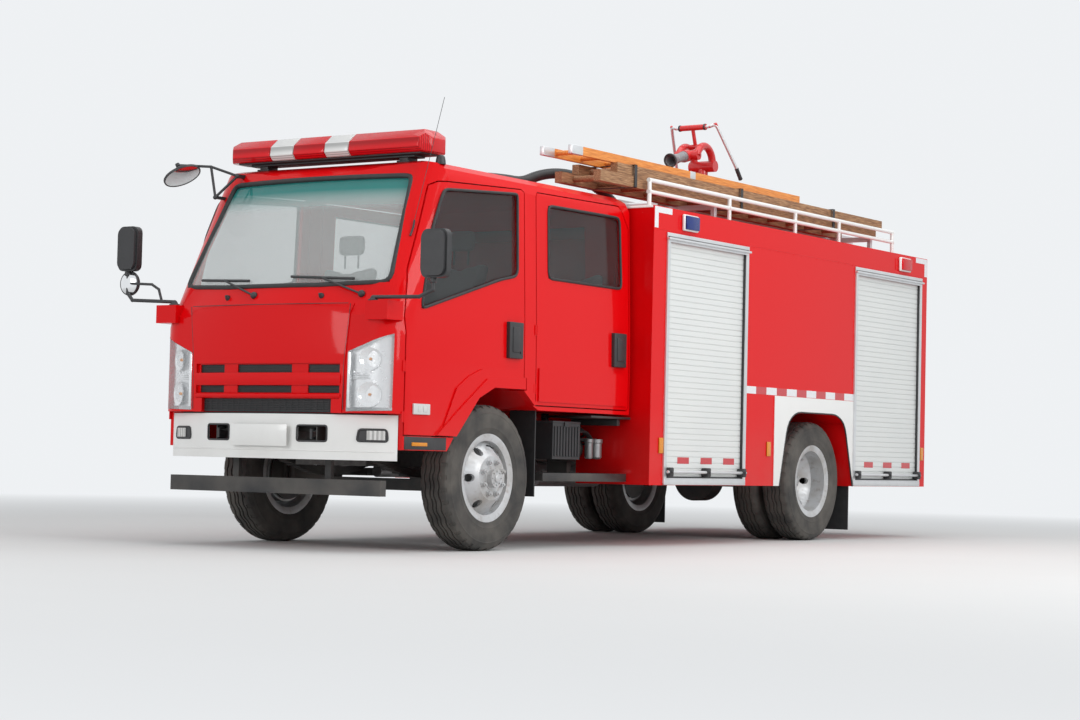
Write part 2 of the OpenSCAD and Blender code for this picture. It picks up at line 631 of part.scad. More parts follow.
// Slatted curtain standing in (depth, height): d is its back face.
module curtain_outline(d, low, high) {
    n = floor((high - low) / slat_pitch);
    step = (high - low) / n;
    polygon(concat([[d, high], [d, low]],
        [for (i = [0 : n - 1]) each [[d + 14, low + i * step], [d + 14, low + (i + 1) * step - 8],
                                     [d + 9, low + (i + 1) * step - 5], [d + 9, low + (i + 1) * step]]]));
}
module shutters() color(steel) from_axle() {
    for (l = lockers) both_sides() on_y(l[0] + hair, l[1] - hair)
        curtain_outline(body_half - 30, locker_floor + hair, locker_top - hair);
    rotate([0, 0, 90]) on_y(-rear_door_half + hair, rear_door_half - hair)
        curtain_outline(body_rear - 30, rear_door_low + hair, locker_top - hair);
}

// Roof rail: posts at these distances behind the front axle.
posts = [body_front + 89, body_front + 1287, wheelbase - 345, wheelbase + 445, wheelbase + 1485];
rail_x = body_half - 100;
module roof_rails() color(white) from_axle() both_sides() {
    for (y = posts) bar([rail_x, y, body_top + hair], [rail_x, y, rail_top], rail_d / 2);
    for (z = [rail_top, rail_top - 85])
        bar([rail_x, posts[0] - rail_d / 2, z], [rail_x, posts[4] + rail_d / 2, z], rail_d / 2);
}

// Ladder lying along Y: centre x, from y to y, rail bottom z, width, rail size, rung pitch.
module ladder(x, y0, y1, z, w, rail, pitch) {
    for (s = [-1, 1]) span([x + s * w / 2 - rail.x / 2, y0, z], [x + s * w / 2 + rail.x / 2, y1, z + rail.y]);
    for (y = [y0 + pitch / 2 : pitch : y1 - 50])
        bar([x - w / 2, y, z + rail.y / 2], [x + w / 2, y, z + rail.y / 2], rail.y * 0.28);
}
rack_z = 2610;
rack_t = 40;
module metal_ladder() color(steel) from_axle() {
    ladder(360, 2780, 6200, rack_z, 360, [30, 60], 300);
    for (y = [2900, 5650]) {
        span([150, y, rack_z - rack_t], [990, y + rack_t, rack_z]);
        for (x = [150, 960]) span([x, y, body_top + hair], [x + 30, y + rack_t, rack_z - rack_t]);
    }
}
module wooden_ladder() color("sienna") from_axle()
    for (k = [0, 1]) ladder(800 - 15 * k, 1250 + 250 * k, 5750 + 150 * k, rack_z + hair + 80 * k, 330, [60, 80], 330);
module orange_ladder() color("chocolate") from_axle()
    ladder(810, 950, 4400, rack_z + 160 + 2 * hair, 240, [32, 62], 330);

// Stiff suction hose: its bend lies on the cab's roof, and both legs arch over
// the step down to the body's roof. Rows are radius, start slope and end slope.
hose_x = 380;
hose_low = 600;          // radius of the hollows before and after the hump
hose_hump = 1500;
hose_up = 20;            // slope up to the hump, and down from it
hose_z = cab_top + hose_d / 2 + 2;
deck_z = body_top + hose_d / 2 + hair;
hose_down = acos((hose_low * cos(hose_up) + hose_hump * cos(hose_up)
                  + deck_z - hose_z) / (hose_low + hose_hump));
hose_y = [1050, hose_low * sin(hose_up), hose_hump * (sin(hose_up) + sin(hose_down)), hose_low * sin(hose_down)];
module hose_arc(y, z, r, a0, a1) translate([0, y, z]) rotate([90, 0, 90]) rotate([0, 0, a0])
    rotate_extrude(angle = a1 - a0) translate([r, 0]) circle(d = hose_d);
module suction_hose() color(black) from_axle() {
    hump_z = hose_z + hose_low * (1 - cos(hose_up)) - hose_hump * cos(hose_up);
    hump_y = hose_y[0] + hose_y[1] + hose_hump * sin(hose_up);
    end_y = hose_y[0] + hose_y[1] + hose_y[2] + hose_y[3];
    for (s = [-1, 1]) translate([s * hose_x, 0, 0]) {
        hose_arc(hose_y[0], hose_z + hose_low, hose_low, -90, hose_up - 90);
        hose_arc(hump_y, hump_z, hose_hump, 90 - hose_down, 90 + hose_up);
        hose_arc(end_y, deck_z + hose_low, hose_low, -90 - hose_down, -90);
        bar([0, end_y, deck_z], [0, wheelbase + 725, deck_z], hose_d / 2);
    }
    translate([0, hose_y[0], hose_z]) rotate([0, 0, 180]) rotate_extrude(angle = 180)
        translate([hose_x, 0]) circle(d = hose_d);
}

module light_bar() color(red) from_axle() {
    intersection() {
        on_x(-855, 855) polygon([[-620, 2600], [-380, 2600], [-350, 2632], [-358, 2692], [-430, 2752],
                                 [-570, 2752], [-642, 2692], [-650, 2632]]);
        on_z(2500, 2800) polygon([[-855, -570], [-790, -655], [790, -655], [855, -570], [855, -430],
                                  [790, -345], [-790, -345], [-855, -430]]);
        on_y(-700, -300) polygon([[-855, 2500], [855, 2500], [855, 2690], [780, 2760], [-780, 2760],
                                  [-855, 2690]]);
    }
    difference() {
        for (s = [-1, 1]) span([s * 600 - 30, -520, 2450], [s * 600 + 30, -440, 2610]);
        cab_form(-hair);
    }
}

// What stands on the cab's skin starts a hair above it.
module on_cab() difference() { children(); cab_form(-hair); }

// Mirror head: a rounded housing with a shallower front, centred at p.
head_r = 45;
module head_outline(w, h) polygon(concat(
    arc([w / 2 - head_r, h / 2 - head_r], head_r, 0, 90, 4), arc([head_r - w / 2, h / 2 - head_r], head_r, 90, 180, 4),
    arc([head_r - w / 2, head_r - h / 2], head_r, 180, 270, 4), arc([w / 2 - head_r, head_r - h / 2], head_r, 270, 360, 4)));
module mirror_head(p, w, h) translate(p) {
    on_y(-20, 28) head_outline(w, h);
    on_y(-42, -19) head_outline(w - 24, h - 24);
}
// Mirrors on tubes from the bosses at the cab's front corners: the right one has
// a round mirror under it. A look-down mirror stands on three tubes at the roof's
// right front corner.
mirror_x = 1390;         // how far the heads reach out
arm_up = boss[1].z + 22;
module mirrors() color(black) from_axle() {
    bent_bar([[840, -1135, boss[1].z + hair], [840, -1135, arm_up], [1190, -1125, arm_up - 4],
              [mirror_x - 110, -1100, arm_up + 40], [mirror_x - 110, -1100, 1760]], 12);
    mirror_head([mirror_x - 100, -1095, 1878], 200, 305);
    bent_bar([[-840, -1135, boss[1].z + hair], [-840, -1135, arm_up], [-1240, -1120, arm_up + 20],
              [85 - mirror_x, -1100, arm_up + 70], [85 - mirror_x, -1100, 1860]], 12);
    bent_bar([[-960, -1131, arm_up + 6], [-990, -1131, 1700], [-1060, -1125, 1735],
              [85 - mirror_x, -1100, 1750]], 9);
    translate([85 - mirror_x, -1102, 1750]) rotate([-90, 0, 0]) {
        cylinder(r1 = 60, r2 = 80, h = 20);
        translate([0, 0, 19]) cylinder(r = 80, h = 14);
    }
    mirror_head([88 - mirror_x, -1095, 1985], 176, 305);
    on_cab() {
        span([-712, -700, 2488], [-688, -600, 2512]);
        span([-825, -790, 2340], [-805, -640, 2360]);
    }
    bent_bar([[-700, -700, 2500], [-852, -800, 2560], [-815, -790, 2350]], 9);
    bar([-700, -700, 2500], [-815, -790, 2350], 9);
    bent_bar([[-852, -800, 2560], [-1084, -880, 2572.6], [-1059, -880, 2529.3]], 9);
    for (p = [[-700, -700, 2500], [-815, -790, 2350]]) translate(p) sphere(r = 16);
    translate([-1064, -880, 2538]) rotate([0, 150, 0]) {
        cylinder(r1 = 60, r2 = 130, h = 40);
        translate([0, 0, 39]) cylinder(r = 130, h = 12);
    }
}

// A point this far ahead of the windscreen's surface.
function on_screen(x, z, out) = [x, screen_low.x + (z - screen_low.y) * tan(screen_lean)
    + (screen_r - sqrt(pow(screen_r, 2) - pow(x, 2))) / cos(screen_lean) - out, z];
module wipers() color(black) from_axle() on_cab() for (x = [-130, 700]) {
    translate(on_screen(x, 1640, 5)) sphere(r = 24);
    bar(on_screen(x, 1640, 16), on_screen(x - 320, 1750, 20), 7);
    bar(on_screen(x - 560, 1760, 18), on_screen(x - 80, 1740, 18), 9);
}

module marker_lamps() color("orange") from_axle() {
    both_sides() {
        for (y = [body_front + 123, wheelbase - 955, body_rear - 99])
            span([body_half + hair, y, 680], [body_half + 8, y + 60, 792]);
        for (y = [body_front + 408, body_rear - 588])
            span([body_half + hair, y, body_top - 139], [body_half + 40, y + 187, body_top - 39]);
        span([body_half - 370, body_rear + hair, 620], [body_half - 50, body_rear + 35, 760]);
    }
}

module mudguards() color(black) from_axle() both_sides() {
    span([735, 560, 360], [945, 572, rear_sill_z - hair]);
    span([690, wheelbase + 600, 80], [body_half - 50, wheelbase + 612, body_low - hair]);
}

module side_step() color(black) from_axle() both_sides() {
    span([560, 640, 470], [960, body_front - 10, 520]);
    for (y = [760, 1500]) span([frame_w / 2 + hair, y, 470], [600, y + 50, 700]);
}
module battery_box() color(black) from_axle() span([frame_w / 2 + hair, 850, 620], [900, 1200, 880]);
module fuel_tank() color(steel) from_axle() span([-900, 850, 560], [-frame_w / 2 - hair, 1480, 900]);
pipe_z = 545 - 40 - hair;
module exhaust() color(steel) from_axle() {
    bar([-250, 350, pipe_z], [-250, 2300, pipe_z], 40);
    bar([-250, 2300, pipe_z], [-250, 3200, pipe_z], 100);
    span([-270, 2585, pipe_z + 50], [-230, 2615, frame_top - 80 - hair]);
}
module rear_step() color(steel) from_axle() {
    span([50 - body_half, body_rear + hair, 460], [body_half - 50, wheelbase + rear_overhang, 500]);
    for (s = [-1, 1])
        span([s * 380 - 25, body_rear - 191, 460], [s * 380 + 25, body_rear + 60, frame_low - hair]);
}

wheel_tilt = 30;
column_top = [480, -560, 1610];
foot_floor = body_under + 60;
module dashboard() color(black) from_axle() {
    intersection() {
        on_x(12 - door_in, door_in - 12) polygon([[-1085 + hair, 1180], [-900, 1180], [-760, 1400], [-760, 1480],
                                 [-860, 1580], [-1085 + hair, 1610]]);
        cab_form(cab_wall + hair);
    }
    difference() {
        translate(column_top) rotate([-wheel_tilt, 0, 0]) translate([0, 0, -900]) cylinder(r = 35, h = 870 - hair);
        span([0, -2000, 0], [1000, 0, foot_floor + hair]);
    }
    span([455, -900, 1340], [505, -700, 1380]);
}
module seat(x, w) {
    span([x - w / 2, -300, 1230], [x + w / 2, 170, 1370]);
    on_x(x - w / 2, x + w / 2) polygon([[110, 1375], [230, 1340], [350, 1980], [250, 1990]]);
    for (dx = [-60, 60]) bar([x + dx, 295, 1950], [x + dx, 295, 2040], 8);
    span([x - 120, 250, 2020], [x + 120, 340, 2190]);
    span([x - w / 2 + 40, -240, 1130 + hair], [x + w / 2 - 40, 110, 1230]);
}
module front_seats() color("gray") from_axle() { seat(480, 500); seat(-480, 500); }
module rear_bench() color("gray") from_axle() {
    span([-850, 1120, 1330], [850, 1580, 1450]);
    span([-850, 1540, 1450 + hair], [850, 1650, 2000]);
    span([-850, 1200, 1010 + hair], [850, 1560, 1330]);
}
module steering_wheel() color(black) from_axle() translate(column_top) rotate([-wheel_tilt, 0, 0]) {
    rotate_extrude() translate([210, 0]) circle(r = 15);
    translate([0, 0, -30]) cylinder(r = 50, h = 40);
    for (a = [0, 120, 240]) rotate([0, 0, a]) span([-14, 40, -11], [14, 207, -2]);
}

// Roof monitor: riser, swivel, and a barrel whose two necks arch over from the
// trunnions to the nozzle. It stands 15 degrees down, as it does on the road.
pivot_z = 3130;
riser_top = 2990;
trunnion_r = 48;
trunnion_half = 50;
neck_x = 88;             // half distance between the two necks
neck_r = 32;
arch_r = 135;            // radius of the necks' arch
arch_c = [-arch_r, 20];  // its centre from the trunnions, back and up
neck_end = arch_c + arch_r * [cos(160), sin(160)];
nozzle_dip = 15;
module monitor_base() color(red) from_axle() translate([0, monitor_y, body_top + hair]) {
    cylinder(r = 120, h = 20);
    cylinder(r = 40, h = riser_top - body_top - hair);
}
module monitor_swivel() color(red) from_axle() translate([0, monitor_y, 0]) {
    translate([0, 0, riser_top + hair]) cylinder(r = 60, h = 40);
    translate([0, 0, riser_top + hair]) cylinder(r = 42, h = 120);
    translate([0, 0, pivot_z]) rotate([0, 90, 0]) cylinder(r = trunnion_r, h = 2 * trunnion_half, center = true);
}
module monitor_barrel() color(steel) from_axle() translate([0, monitor_y, pivot_z]) {
    both_sides() {
        translate([trunnion_half + hair, 0, 0]) rotate([0, 90, 0])
            cylinder(r = trunnion_r, h = neck_x + neck_r - trunnion_half);
        translate([neck_x, arch_c.x, arch_c.y]) rotate([90, 0, 90]) rotate_extrude(angle = 160)
            translate([arch_r, 0]) circle(r = neck_r);
        bent_bar([[120, -190, 310], [165, -190, 310], [215, -175, 330], [290, 60, -20], [300, 120, -110]], 12);
    }
    translate([0, neck_end.x, neck_end.y]) {
        rotate([0, 90, 0]) cylinder(r = 42, h = 2 * neck_x + 40, center = true);
        rotate([90 + nozzle_dip, 0, 0]) {
            cylinder(r = 50, h = 70);
            cylinder(r = 38, h = 260);
            translate([0, 0, 230]) cylinder(r1 = 44, r2 = 56, h = 70);
        }
    }
    bar([-neck_x, arch_c.x, arch_c.y + arch_r], [neck_x, arch_c.x, arch_c.y + arch_r], 20);
    bar([0, arch_c.x, arch_c.y + arch_r], [0, -190, 310], 16);
    bar([-130, -190, 310], [130, -190, 310], 24);
}

chassis_frame();
front_axle();
rear_axle();
leaf_springs();
engine();
propshaft();
fuel_tank();
battery_box();
exhaust();
front_bumper();
underrun_bar();
cab_shell();
cab_glass();
grille_panel();
headlamps();
dashboard();
front_seats();
rear_bench();
light_bar();
mirrors();
wipers();
fire_body();
locker_frames();
shutters();
water_tank();
pump();
roof_rails();
metal_ladder();
wooden_ladder();
orange_ladder();
suction_hose();
mudguards();
marker_lamps();
rear_step();
side_step();
monitor_base();
monitor_swivel();
monitor_barrel();
steering_wheel();
knuckle_left();
knuckle_right();
tie_rod();
tyre_front_left();
tyre_front_right();
wheel_front_left();
wheel_front_right();
tyres_rear_left();
tyres_rear_right();
wheels_rear_left();
wheels_rear_right();
door_front_left();
door_front_right();
door_rear_left();
door_rear_right();
glass_front_left();
glass_front_right();
glass_rear_left();
glass_rear_right();
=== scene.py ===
# %% [markdown]
# This scene dresses a crew-cab fire truck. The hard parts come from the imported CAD
# frame, which stays where it is; Blender adds finishes and the small parts that give
# the truck its look. Distances are in metres, and most are measured from the middle
# of the front axle, because that is how a truck builder gives them.

# %% Load the frame
import json
import math

import bmesh
import bpy
from mathutils import Matrix, Vector

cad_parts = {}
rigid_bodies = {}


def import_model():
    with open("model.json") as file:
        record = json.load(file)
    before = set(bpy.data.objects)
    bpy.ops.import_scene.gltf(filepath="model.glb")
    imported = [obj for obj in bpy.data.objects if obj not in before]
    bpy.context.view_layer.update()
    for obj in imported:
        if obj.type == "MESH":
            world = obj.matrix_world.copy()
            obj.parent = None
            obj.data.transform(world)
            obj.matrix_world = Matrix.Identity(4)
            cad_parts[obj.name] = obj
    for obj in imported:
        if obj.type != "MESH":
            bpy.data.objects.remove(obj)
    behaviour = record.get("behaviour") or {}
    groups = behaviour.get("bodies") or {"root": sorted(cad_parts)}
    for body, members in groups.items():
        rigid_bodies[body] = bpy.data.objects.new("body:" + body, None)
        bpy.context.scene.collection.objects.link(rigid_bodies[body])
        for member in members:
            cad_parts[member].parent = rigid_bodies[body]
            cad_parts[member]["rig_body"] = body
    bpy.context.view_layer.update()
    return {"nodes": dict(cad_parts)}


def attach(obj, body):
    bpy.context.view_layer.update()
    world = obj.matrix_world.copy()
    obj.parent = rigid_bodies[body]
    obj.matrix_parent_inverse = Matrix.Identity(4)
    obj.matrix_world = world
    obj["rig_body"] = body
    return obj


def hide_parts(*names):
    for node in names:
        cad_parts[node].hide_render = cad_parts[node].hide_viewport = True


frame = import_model()
nodes = frame["nodes"]
AXLE = -2.7          # the front axle's place along Y
WHEELBASE = 4.475
SIDES = ((1, "left"), (-1, "right"))


def at(x, y, z):
    """A point given from the front axle, on the ground under it."""
    return Vector((x, y + AXLE, z))


# %% [markdown]
# The camera comes first, since the look is judged from it. It stands low, ahead of the
# truck's left front corner, with a long lens: 77 mm on a 36 mm sensor. Its turn is
# given by three angles, so the matrix is built from the lines of sight.

# %% Camera
CAMERA = Vector((9.803, -15.316, 0.627))
yaw, pitch, roll = (math.radians(a) for a in (33.824, 2.415, 1.303))
ahead = Vector((-math.sin(yaw) * math.cos(pitch), math.cos(yaw) * math.cos(pitch), math.sin(pitch)))
level = Vector((math.cos(yaw), math.sin(yaw), 0))
upward = level.cross(ahead)
right = level * math.cos(roll) + upward * math.sin(roll)
top = upward * math.cos(roll) - level * math.sin(roll)
camera = bpy.data.objects.new("camera", bpy.data.cameras.new("camera"))
bpy.context.scene.collection.objects.link(camera)
camera.data.lens = 77.23
camera.data.clip_end = 500
camera.matrix_world = Matrix.Translation(CAMERA) @ Matrix((right, top, -ahead)).transposed().to_4x4()
bpy.context.scene.camera = camera
print("camera looks along", [round(v, 3) for v in ahead])

# %% [markdown]
# The studio is one pale round floor, an even sky and three broad lamps. A broad lamp
# gives paint a long soft highlight. The camera sees the sky as a plain pale grey, and
# so do mirrors and glass, but the sky's own light on the truck is weaker than that.
# Far out, the floor fades into the same grey, so no dark horizon crosses the picture.

# %% Studio
def lamp(name, place, aim, size, watts):
    data = bpy.data.lights.new(name, "AREA")
    data.shape, data.size, data.size_y, data.energy = "RECTANGLE", size[0], size[1], watts
    one = bpy.data.objects.new(name, data)
    turn = (Vector(aim) - Vector(place)).to_track_quat("-Z", "Y").to_matrix().to_4x4()
    one.matrix_world = Matrix.Translation(place) @ turn
    bpy.context.scene.collection.objects.link(one)


lamp("lamp_above", (2.0, 0.0, 9.0), (0, 0, 1), (10, 12), 620)
lamp("lamp_side", (11.0, -3.0, 5.5), (0, 0, 1.4), (6, 5), 500)
lamp("lamp_front", (-1.5, -14.0, 4.5), (0, -2, 1.4), (6, 4), 360)

world = bpy.data.worlds.new("sky")
bpy.context.scene.world = world
world.use_nodes = True
sky_nodes, sky_links = world.node_tree.nodes, world.node_tree.links
sky = sky_nodes["Background"]
sky.inputs["Color"].default_value = (0.93, 0.96, 1.0, 1)
sky.inputs["Strength"].default_value = 0.55
BACKDROP = (0.86, 0.88, 0.90, 1)
seen = sky_nodes.new("ShaderNodeBackground")
seen.inputs["Color"].default_value = BACKDROP


def looking(tree):
    """1 where the eye, a mirror or glass looks, and 0 where light only falls."""
    rays = tree.nodes.new("ShaderNodeLightPath")
    total = rays.outputs["Is Camera Ray"]
    for kind in ("Is Glossy Ray", "Is Transmission Ray"):
        most = tree.nodes.new("ShaderNodeMath")
        most.operation = "MAXIMUM"
        tree.links.new(total, most.inputs[0])
        tree.links.new(rays.outputs[kind], most.inputs[1])
        total = most.outputs[0]
    return total


blend = sky_nodes.new("ShaderNodeMixShader")
sky_links.new(looking(world.node_tree), blend.inputs[0])
sky_links.new(sky.outputs[0], blend.inputs[1])
sky_links.new(seen.outputs[0], blend.inputs[2])
sky_links.new(blend.outputs[0], sky_nodes["World Output"].inputs["Surface"])
bpy.context.scene.view_settings.view_transform = "Standard"

bm = bmesh.new()
bmesh.ops.create_circle(bm, cap_ends=True, radius=150, segments=96)
mesh = bpy.data.meshes.new("floor")
bm.to_mesh(mesh)
bm.free()
floor = bpy.data.objects.new("floor", mesh)
bpy.context.scene.collection.objects.link(floor)
print("studio: 3 lamps and a floor")

# %% [markdown]
# Every finish on the truck is a small node network. Writing it as sums keeps it
# readable: a Value wraps one socket and turns + - * / into Math nodes, and a Finish
# makes each node with one method. The patterns read Object coordinates, which are
# metres in the truck's own frame, so a 3 mm grain is the same on every panel.

# %% Shader helpers
class Value:
    """A number or colour on its way through a finish."""

    def __init__(self, finish, socket):
        self.finish, self.socket = finish, socket

    def maths(self, operation, other):
        return self.finish.node("ShaderNodeMath", {"operation": operation}, self, other)

    def __add__(self, other): return self.maths("ADD", other)
    def __sub__(self, other): return self.maths("SUBTRACT", other)
    def __mul__(self, other): return self.maths("MULTIPLY", other)
    def __truediv__(self, other): return self.maths("DIVIDE", other)


class Finish:
    """A material whose nodes are made by one method. Its slot is its own name, if no
    other is given."""

    def __init__(self, name, slot=None):
        self.slot = slot or name
        self.material = bpy.data.materials.new(name)
        self.material.use_nodes = True
        self.tree = self.material.node_tree
        self.shader = self.tree.nodes["Principled BSDF"]
        self.place = self.node("ShaderNodeTexCoord", {}, out="Object")

    def node(self, kind, settings, *values, out=0, **named):
        """Makes a node and feeds its inputs, first in order and then by name."""
        made = self.tree.nodes.new(kind)
        for key, setting in settings.items():
            if key == "stops":
                ramp = made.color_ramp
                while len(ramp.elements) < len(setting):
                    ramp.elements.new(0.5)
                for element, (position, colour) in zip(ramp.elements, setting):
                    element.position, element.color = position, colour
            else:
                setattr(made, key, setting)
        by_name = [(made.inputs[key], value) for key, value in named.items()]
        for socket, value in [*zip(made.inputs, values), *by_name]:
            self.feed(socket, value)
        return Value(self, made.outputs[out])

    def feed(self, socket, value):
        if isinstance(value, Value):
            self.tree.links.new(value.socket, socket)
        elif value is not None:
            socket.default_value = value

    def set(self, **inputs):
        for name, value in inputs.items():
            self.feed(self.shader.inputs[name.replace("_", " ")], value)
        return self

    def height(self):
        """How high a point is above the ground."""
        return self.node("ShaderNodeSeparateXYZ", {}, self.place, out="Z")

    def grain(self, scale, detail=4.0, stretch=(1, 1, 1)):
        """Soft noise from 0 to 1, with this many lumps to a metre."""
        mapped = self.node("ShaderNodeMapping", {}, self.place, Scale=stretch)
        return self.node("ShaderNodeTexNoise", {}, Vector=mapped, Scale=scale, Detail=detail)

    def ramp(self, value, *stops):
        """Stops are pairs of a place and a grey or a colour."""
        full = [(p, (c, c, c, 1) if isinstance(c, (int, float)) else (*c, 1)) for p, c in stops]
        return self.node("ShaderNodeValToRGB", {"stops": full}, value)

    def mix(self, amount, first, second):
        made = self.tree.nodes.new("ShaderNodeMix")
        made.data_type = "RGBA"
        for socket, value in ((made.inputs[0], amount), (made.inputs[6], first), (made.inputs[7], second)):
            self.feed(socket, (*value, 1) if isinstance(value, tuple) else value)
        return Value(self, made.outputs[2])

    def bump(self, height, depth):
        """Relief from a value: depth is how deep it is, in metres."""
        return self.node("ShaderNodeBump", {}, Height=height, Distance=depth, Strength=1.0)

    def wave(self, axis, scale):
        """Bands across one axis."""
        return self.node("ShaderNodeTexWave", {"wave_type": "BANDS", "bands_direction": axis},
                         Vector=self.place, Scale=scale)


def speckled(name, slot, lumps, dark, pale, gloss, relief=None, metallic=0.0, **more):
    """A finish that varies in three ways, each with its own noise. lumps is the noise
    between the two colours. gloss is its noise's scale, spread and lowest roughness: at
    scale 0 it is even. relief is its noise's scale and detail, and its depth."""
    made = Finish(name, slot)
    scale, spread, lowest = gloss
    made.set(Base_Color=made.mix(made.grain(*lumps), dark, pale), Metallic=metallic,
             Roughness=made.grain(scale) * spread + lowest if scale else lowest, **more)
    if relief:
        made.set(Normal=made.bump(made.grain(relief[0], relief[1]), relief[2]))
    return made


print("shader helpers ready")

# %% [markdown]
# The red paint is what one sees first. Real fire paint is a pure red under a clear
# coat: the coat gives the sharp reflection and the colour below stays deep. Road dust
# gathers low down, so a noise mask that fades with height mixes in a little grey brown
# and takes the gloss away.

# %% Paints
DUST = (0.30, 0.27, 0.23)


def dusty(finish, colour, gloss, amount, top=1.1):
    """Feeds a colour with road dust that fades out towards the height top."""
    low = finish.ramp(finish.height() / top, (0.0, 1.0), (1.0, 0.0))
    patches = finish.ramp(finish.grain(3.0, 8.0), (0.35, 0.0), (0.75, 1.0))
    mask = low * patches * amount
    base = finish.mix(mask, colour, DUST)
    finish.set(Base_Color=base, Roughness=mask * 0.5 + gloss)
    return mask


red = Finish("red_paint")
dusty(red, (0.68, 0.0012, 0.003), 0.34, 0.22, 1.0)
red.set(Coat_Weight=0.35, Coat_Roughness=0.05, Specular_IOR_Level=0.05,
        Normal=red.bump(red.grain(220, 2.0), 0.00004))

white = Finish("white_paint")
dusty(white, (0.80, 0.80, 0.78), 0.32, 0.35, 1.2)
white.set(Coat_Weight=0.6, Coat_Roughness=0.08, Normal=white.bump(white.grain(200, 2.0), 0.00005))

chassis = Finish("chassis_paint", "black_steel")
dusty(chassis, (0.016, 0.016, 0.018), 0.45, 0.45, 1.3)
chassis.set(Normal=chassis.bump(chassis.grain(90), 0.0004))

silver = Finish("wheel_paint", "silver_paint")
rust = silver.ramp(silver.grain(26, 8.0), (0.58, 0.0), (0.74, 1.0))
grime = silver.ramp(silver.grain(7, 6.0), (0.42, 0.0), (0.8, 0.75))
worn = silver.mix(grime, (0.56, 0.57, 0.58), (0.30, 0.27, 0.23))
silver.set(Base_Color=silver.mix(rust * 0.35, worn, (0.16, 0.08, 0.04)), Metallic=0.35,
           Roughness=grime * 0.3 + 0.36, Normal=silver.bump(silver.grain(140), 0.00015))

hammered = Finish("hammered_paint", "aluminium")
lumps = hammered.grain(130, 3.0)
hammered.set(Base_Color=hammered.mix(lumps, (0.20, 0.21, 0.22), (0.42, 0.43, 0.44)), Metallic=0.5,
             Roughness=0.38, Normal=hammered.bump(lumps, 0.0005))

red_metal = speckled("red_casting", "red_paint", (18, 5.0), (0.50, 0.008, 0.010), (0.66, 0.02, 0.02),
                     (60, 0.2, 0.28), (120, 4.0, 0.0003), Coat_Weight=0.5, Coat_Roughness=0.1)
print("paints: red, white, chassis, wheel, hammered, red casting")

# %% [markdown]
# Bare metals: rolled aluminium for the shutters has fine lines along the slats, so its
# noise is stretched along the truck. Zinc-coated steel has soft blotches instead.

# %% Metals
slat = Finish("slat_aluminium")
lines = slat.grain(60, 3.0, (0.06, 0.06, 9.0))
smears = slat.grain(1.6, 6.0)
slat.set(Base_Color=slat.mix(smears, (0.68, 0.70, 0.69), (0.76, 0.77, 0.75)), Metallic=0.15,
         Roughness=lines * 0.16 + 0.42, Normal=slat.bump(lines, 0.00012))

alloy = speckled("rail_aluminium", "aluminium", (9, 5.0), (0.60, 0.61, 0.62), (0.74, 0.75, 0.76),
                 (45, 0.2, 0.30), (180, 4.0, 0.0001), 0.7)
zinc = speckled("zinc_steel", "aluminium", (14, 6.0), (0.22, 0.22, 0.22), (0.44, 0.44, 0.45),
                (30, 0.25, 0.38), (80, 4.0, 0.0003), 0.8)
cast = speckled("cast_metal", "black_steel", (30, 6.0), (0.10, 0.10, 0.10), (0.22, 0.21, 0.20), (0, 0, 0.6),
                (150, 4.0, 0.0008), 0.6)
chrome = speckled("reflector_chrome", "lamp_lens", (20,), (0.82, 0.83, 0.84), (0.90, 0.91, 0.92),
                  (60, 0.06, 0.06), None, 1.0)
lamp_silver = speckled("lamp_silver", "lamp_lens", (40,), (0.66, 0.67, 0.68), (0.80, 0.81, 0.82),
                       (25, 0.15, 0.18), None, 0.6)
print("metals: slats, rails, zinc, cast, chrome, lamp silver")

# %% [markdown]
# Rubber and plastic are near black but never quite black, and their roughness changes
# from place to place. Tyres carry pale dust in soft patches, and wooden poles have
# their grain along the truck.

# %% Rubber, plastic, wood and cloth
rubber = speckled("seal_rubber", "rubber", (25,), (0.012, 0.012, 0.013), (0.030, 0.030, 0.031),
                  (60, 0.2, 0.5), (400, 4.0, 0.0001))
plastic = speckled("black_plastic", "black_plastic", (12,), (0.018, 0.018, 0.020), (0.034, 0.034, 0.036),
                   (50, 0.15, 0.42), (900, 2.0, 0.00015))

tyre_black = Finish("tyre_rubber")
dirt = tyre_black.ramp(tyre_black.grain(6, 9.0), (0.30, 0.0), (0.80, 0.85))
tyre_black.set(Base_Color=tyre_black.mix(dirt, (0.030, 0.029, 0.028), (0.145, 0.132, 0.115)),
               Roughness=dirt * 0.15 + 0.72, Normal=tyre_black.bump(tyre_black.grain(260, 5.0), 0.0006))


def wooden(name, grain, spread, lowest, relief, *stops):
    """Wood whose grain runs along the truck."""
    made = Finish(name)
    fibres = made.grain(*grain)
    made.set(Base_Color=made.ramp(fibres, *stops), Roughness=fibres * spread + lowest,
             Normal=made.bump(fibres, relief))
    return made


timber = wooden("weathered_wood", (30, 8.0, (6.0, 0.35, 6.0)), 0.2, 0.55, 0.0012,
                (0.25, (0.10, 0.045, 0.02)), (0.5, (0.30, 0.15, 0.07)), (0.75, (0.52, 0.31, 0.16)))
varnish = wooden("orange_wood", (26, 7.0, (5.0, 0.3, 5.0)), 0.15, 0.35, 0.0006,
                 (0.25, (0.50, 0.14, 0.02)), (0.6, (0.78, 0.28, 0.05)), (0.8, (0.85, 0.40, 0.12)))

cloth = Finish("seat_cloth", "grey_fabric")
weave = cloth.wave("X", 160.0) * cloth.wave("Z", 160.0)
cloth.set(Base_Color=cloth.mix(cloth.grain(8) * 0.5 + weave * 0.3, (0.12, 0.12, 0.125), (0.26, 0.26, 0.27)),
          Roughness=0.92, Sheen_Weight=0.3, Normal=cloth.bump(weave, 0.0006))
print("soft finishes ready")

# %% [markdown]
# Glass is kept simple so that it looks the same in other programs: a dark or pale tint
# that light passes through. The windscreen's upper edge has a blue-green band, painted
# by height.

